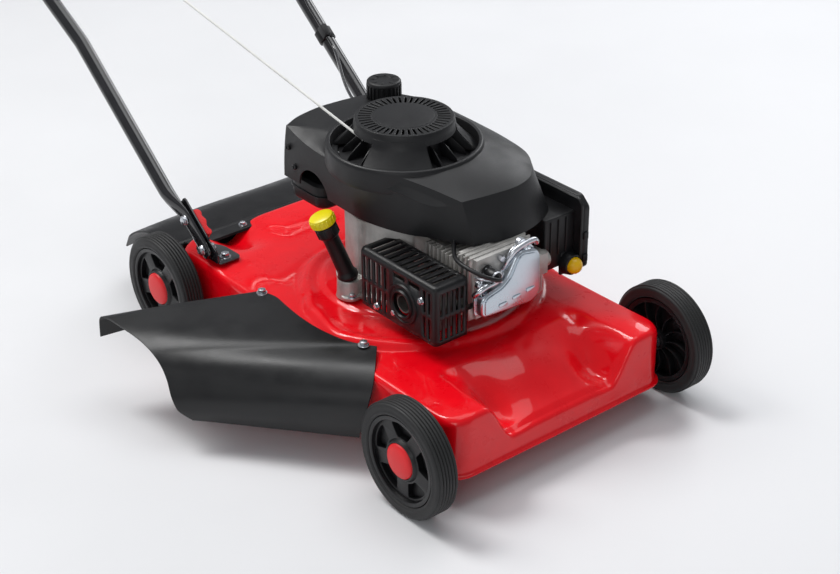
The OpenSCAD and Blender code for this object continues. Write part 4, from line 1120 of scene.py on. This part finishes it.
def make_oil_filler():
    foot, head = Vector((*FILLER_AT, 190)), Vector((-146, 338, 296))
    axis = (head - foot).normalized()
    length = (head - foot).length
    across = axis.cross((0, 1, 0))
    place = axes(foot, across, axis.cross(across))
    tube_profile = [(8, 0), (14.5, 0), (16.2, 3), (16.2, 8), (14.2, 11), (13.2, 16), (12.6, length - 40),
                    (13.6, length - 34), (16.8, length - 31), (17.6, length - 28), (17.6, length - 15),
                    (15.6, length - 12.5), (12.7, length - 12.4), (12.7, length - 26), (8, length - 30),
                    (8, 0)]
    parts = [lathe("filler", tube_profile, BLACK, place, 48, angle=35)]
    parts += ribs_round(8, 16.8, 1, length - 29, length - 14, 0.8, 1.8, 0.5, BLACK, place)
    add(join("filler_neck", parts), "chassis", "black_plastic", "oil_filler_tube")
    top = length - 11.4
    cap = lathe("cap", [(12.3, top - 12), (12.3, top + 0.3), (18.6, top + 0.3), (19.8, top + 1.6),
                        (19.6, top + 11), (18.4, top + 14.2), (15.5, top + 15.8), (0, top + 16.3)], YELLOW,
                place, 64, angle=40)
    flutes = ribs_round(18, 18.8, 1.5, top + 1.5, top + 12, 1.3, 1.6, 0.6, YELLOW, place)
    blade = tube("blade", [tuple(place @ Vector((0, 0, z))) for z in (22, 60, top - 11.8)], 2.4, ZINC, 12)
    add(join("dipstick_cap", [cap] + flutes + [blade]), "oil_dipstick", "yellow_plastic", "dipstick")
    ear = [plate("ear", round_corners(((-20, -16), (20, -16), (28, 0), (20, 16), (-20, 16), (-28, 0)), 10),
                 [], 7, 2, CAST, axes((*FILLER_AT, 160.4), (0.5, 1, 0), (-1, 0.5, 0)), 2),
           lathe("boss", [(11.8, 0), (21, 0), (19.6, 6), (19, 27), (17.6, 30), (12.2, 30.6), (11.8, 0)],
                 CAST, upright(*FILLER_AT, 160.4), 48)]
    add(join("filler_boss", ear), "chassis", "cast_aluminium")
    for dx, dy in ((11, 21), (-10, -20)):
        bolt("filler_bolt", (FILLER_AT[0] + dx, FILLER_AT[1] + dy, 167.4), UP, 5, 4, 7.5)


# ---- handle
LEG_R = 12.4
LATCH_L = 57.6
NUT_X = 212.6


def make_lower_handles():
    for side, name in ((-1, "right"), (1, "left")):
        ls = [-15, -13, -9, 0, 20, 40, 58, 70, 80, 90, 100, 112, 126, 160, 240, 320, 380]
        ls += [392 + 7 * k for k in range(6)] + [450, 480, 500] + [508 + 7 * k for k in range(6)]
        ls += [580, 660, 740, 820, 878, 880]
        pts, shape = [], []
        for l in ls:
            flat = smooth(118, 56, l)
            x = lerp(TUBE_X, 208.2, flat)
            if l > 392:
                x = lerp(TUBE_X, SPLAY_X, smooth(400, 530, l) * 0.3 + 0.7 * min(max((l - 412) / 106, 0), 1))
            pts.append(handle(side * x, l))
            end = {-15: 0.62, -13: 0.82, -9: 0.95}.get(l, 1.0) * (0.9 if l == 880 else 1)
            shape.append((lerp(1.0, 0.33, flat) * (0.9 if l in (-15, 880) else 1),
                          lerp(1.0, 1.2, flat) * end, ABOVE))
        leg = tube("lower_leg_" + name, pts, LEG_R, ENAMEL, 28, squash=lambda i: shape[i])
        add(leg, "lower_handle", "black_paint", "lower_handle_" + name)
        for nut, l, body in (("pivot_nut", 0, "chassis"), ("latch_nut", LATCH_L, "lower_handle")):
            bolt(nut, handle(side * NUT_X, l), (side, 0, 0), 6.6, 5, 8.4, body)


def make_levers():
    """Each lever lies on its tube, wavy on the finger side."""
    for side, name in ((-1, "right"), (1, "left")):
        waves = [(17, 0), (20, 6), (25, 7.5), (29, 5.5), (34, 4.6), (39, 6.6), (44, 8.4), (49, 7.0),
                 (53, 5.6), (57, 7.2), (61, 7.6), (65, 5.4), (67, 1)]
        outline = [(l, -6.5) for l in (66, 21)] + [(l, w - 1.5) for l, w in waves]
        place = axes(handle(side * 190, 0, -9 * side), AHEAD, (-side, 0, 0))
        shape = round_corners(through_2d(outline), 1.2, 2)
        lever = plate("lever", shape, [], 17, 2.0, RED_PLASTIC, place, 3)
        add(lever, "lever_" + name, "red_plastic", "fold_lever_" + name)
        lever.name = "latch_lever_" + name


def through_2d(points):
    return [(p.x, p.y) for p in through([(x, y, 0) for x, y in points], 3, True, (0, 1))]


def make_flap():
    profile = through([(0, 668, 136.5), (0, 690, 139), (0, 722, 139.5), (0, 752, 135), (0, 784, 122),
                       (0, 812, 101), (0, 838, 71)], 6)
    across = 30
    verts = []
    for i, p in enumerate(profile):
        t = i / (len(profile) - 1)
        half = 214 - 10 * smooth(0.75, 1.0, t)
        for k in range(across + 1):
            u = -1 + 2 * k / across
            verts.append((u * half, p.y, p.z - 3.0 * abs(u) ** 6 + 0.8 * sin(u * 5 + p.y * 0.02)))
    sheet = build("flap_sheet", verts, grid_faces(len(profile), across + 1), BLACK, angle=60)
    face_along(sheet, lambda p: UP)
    solidify(sheet, 3.4)
    bevel(sheet, 0.9, 2, 50)
    add(sheet, "flap", "black_plastic", "rear_flap")
    hinge = lathe("flap_knuckle", [(3.4, -200), (6.6, -200), (7.2, -199), (7.2, 199), (6.6, 200), (3.4, 200),
                                   (3.4, -200)], BLACK, axes((0, 668, 132), *ON_SIDE), 32)
    add(hinge, "flap", "black_plastic")


def make_rear_bar():
    outline = [(632, 139.0), (634, 142.5), (652, 144.8), (659.5, 142.0), (661, 138), (661, 84), (658.6, 84),
               (658.2, 136), (652, 141), (636, 139)]
    bar = plate("bar", outline, [], 388, 0.5, BLACK, axes((-194, 0, 0), *ON_SIDE))
    add(bar)
    bar.name = "rear_hold_down"
    for x in (-86, 86):
        bolt("rear_bar_bolt", (x, 646, 143.6), UP, 5.2, 3.6, 7.6)


# ---- cords
ROPE_EXIT = Vector((-63.8, 331.6, 399))
GUIDE_L, GUIDE_O = 850, 29
ROPE_R = 2.0
CABLE_R = 2.9
LEAD_R = 3.2
CABLE_END = (92, 527, 338)
# distances along the handle where the cable passes to the upper handle and leaves the tube
CABLE_UPPER_L, CABLE_LEAVES_L = 845, 284


def bezier(a, b, c, d, t):
    a, b, c, d = (Vector(p) for p in (a, b, c, d))
    return a * (1 - t) ** 3 + b * (3 * (1 - t) ** 2 * t) + c * (3 * (1 - t) * t * t) + d * t ** 3


def laid_radius(i):
    """Radius of the laid rope at that point: a slight swell at each turn of its three strands."""
    return ROPE_R * (1 + 0.06 * sin(2 * pi * i / 3))


def make_starter_rope():
    guide = handle(-SPLAY_X, GUIDE_L, GUIDE_O)
    run = [ROPE_EXIT.lerp(guide, i / 240) for i in range(241)]
    rope = tube("pull_rope", run, laid_radius, ROPE, 12)
    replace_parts(rope, "starter_rope")
    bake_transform(rope)
    middle = guide + AHEAD * 20 + ABOVE * 4
    profile = [(0, -46), (7, -46), (10.4, -44), (12, -40), (12.2, -34), (10.6, -22), (10.2, -12), (11.4, 0),
               (10.2, 12), (10.6, 22), (12.2, 34), (12, 40), (10.4, 44), (7, 46), (0, 46)]
    tail_run = [guide.lerp(middle, i / 60) for i in range(61)]
    tail = tube("rope_tail", tail_run, ROPE_R, ROPE, 12)
    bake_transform(tail)
    grip = lathe("grip", profile, BLACK, axes(middle, AHEAD, ABOVE), 40, angle=40)
    stem = lathe("stem", [(2.3, -16), (4.4, -16), (5.4, -14.5), (7, -8), (7.4, 0), (0, 0)], BLACK,
                 axes(middle, (1, 0, 0), ABOVE), 32)
    add(join("pull_grip", [grip, stem]), "starter_handle", "black_plastic", "starter_grip")


def along(p):
    """Distance of a point along the handle from its pivot."""
    return (p.y - PIVOT[0]) * cos(SLOPE) + (p.z - PIVOT[1]) * sin(SLOPE)


def cable_route():
    pts = [handle(196, l, 17) for l in range(1096, 975, -24)]
    pts += [handle(198 + i * 5.4, 952 - i * 11, 18) for i in range(6)]
    pts += [handle(227, l, 18) for l in range(872, 529, -24)]
    pts += [handle(222 - (505 - l) * 0.1, l, 18) for l in range(505, 354, -25)]
    pts += [handle(207, l, 18) for l in (330, 314, 300, 286)]
    pts += [bezier(handle(207, 270, 18), handle(205, 235, 20), (92, 600, 338), CABLE_END, i / 12)
            for i in range(13)]
    return pts


def make_cables():
    pts = cable_route()
    fine = through(pts, 3)
    upper_end = next(i for i, p in enumerate(fine) if along(p) < CABLE_UPPER_L)
    lower_start = next(i for i, p in enumerate(fine) if along(p) < CABLE_LEAVES_L)
    # name, run, body at its start, body at its end
    pieces = (("brake_cable_top", fine[:upper_end + 1], "hand_bar", "lower_handle"),
              ("brake_cable_leg", fine[upper_end:lower_start + 1], "lower_handle", None),
              ("brake_cable_loop", fine[lower_start:], "lower_handle", "chassis"))
    for name, run, a, b in pieces:
        hose = tube(name, run, CABLE_R, ENAMEL, 14)
        if b:
            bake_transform(hose)
        else:
            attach(hose, a)
            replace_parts(hose, "brake_cable")
    bend = (-70, 100, 286)
    lead = [bezier((-34, 65.5, 268), (-34, 45, 268), (-72, 50, 284), bend, i / 20) for i in range(20)]
    lead += [bezier(bend, (-69, 132, 287), (-44, 148, 281), (-30, 168, 304), i / 14) for i in range(15)]
    wire = tube("plug_wire", lead, LEAD_R, BLACK, 14)
    add(wire, "chassis", "cable_sheath", "plug_lead")


# ---- pieces kept from the CAD frame
def dress(node, mat, width, segments=2):
    """A CAD piece keeps its shape and gets its finish and eased edges."""
    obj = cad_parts[node]
    obj.data.materials.clear()
    obj.data.materials.append(mat)
    obj.data.polygons.foreach_set("use_smooth", [True] * len(obj.data.polygons))
    weld = obj.modifiers.new("weld", "WELD")
    weld.merge_threshold = 0.00002
    if width:
        bevel(obj, width, segments, 35)


def dress_frame():
    dress("bail_lever", ENAMEL, 0.7)
    dress("upper_handle", ENAMEL, 0)
    for node in ("pivot_bolts", "flap_rod", "axle_bolts", "engine_bolts", "spark_plug",
                 "governor_link", "handle_bolts", "rope_guide", "blade_bolt", "crankshaft"):
        dress(node, ZINC, 0.4)
    for node in ("crankcase", "cylinder_head", "carburettor", "flywheel", "blade_adapter"):
        dress(node, CAST, 0.9)
    dress("recoil_pulley", BLACK, 0.4)
    dress("cable_clips", BLACK, 0.8)
    dress("cutting_blade", BLADE, 0.4)
    for node in ("knob_right", "knob_left"):
        dress(node, BLACK, 1.6, segments=3)


make_stage()
make_camera()
make_starter_rope()
make_cables()
make_deck()
make_chute()
make_wheels()
make_blower_housing()
make_recoil()
make_fuel_cap()
make_tank()
make_brackets()
make_guard()
make_valve_cover()
make_air_filter()
make_oil_filler()
make_lower_handles()
make_levers()
make_flap()
make_rear_bar()
dress_frame()
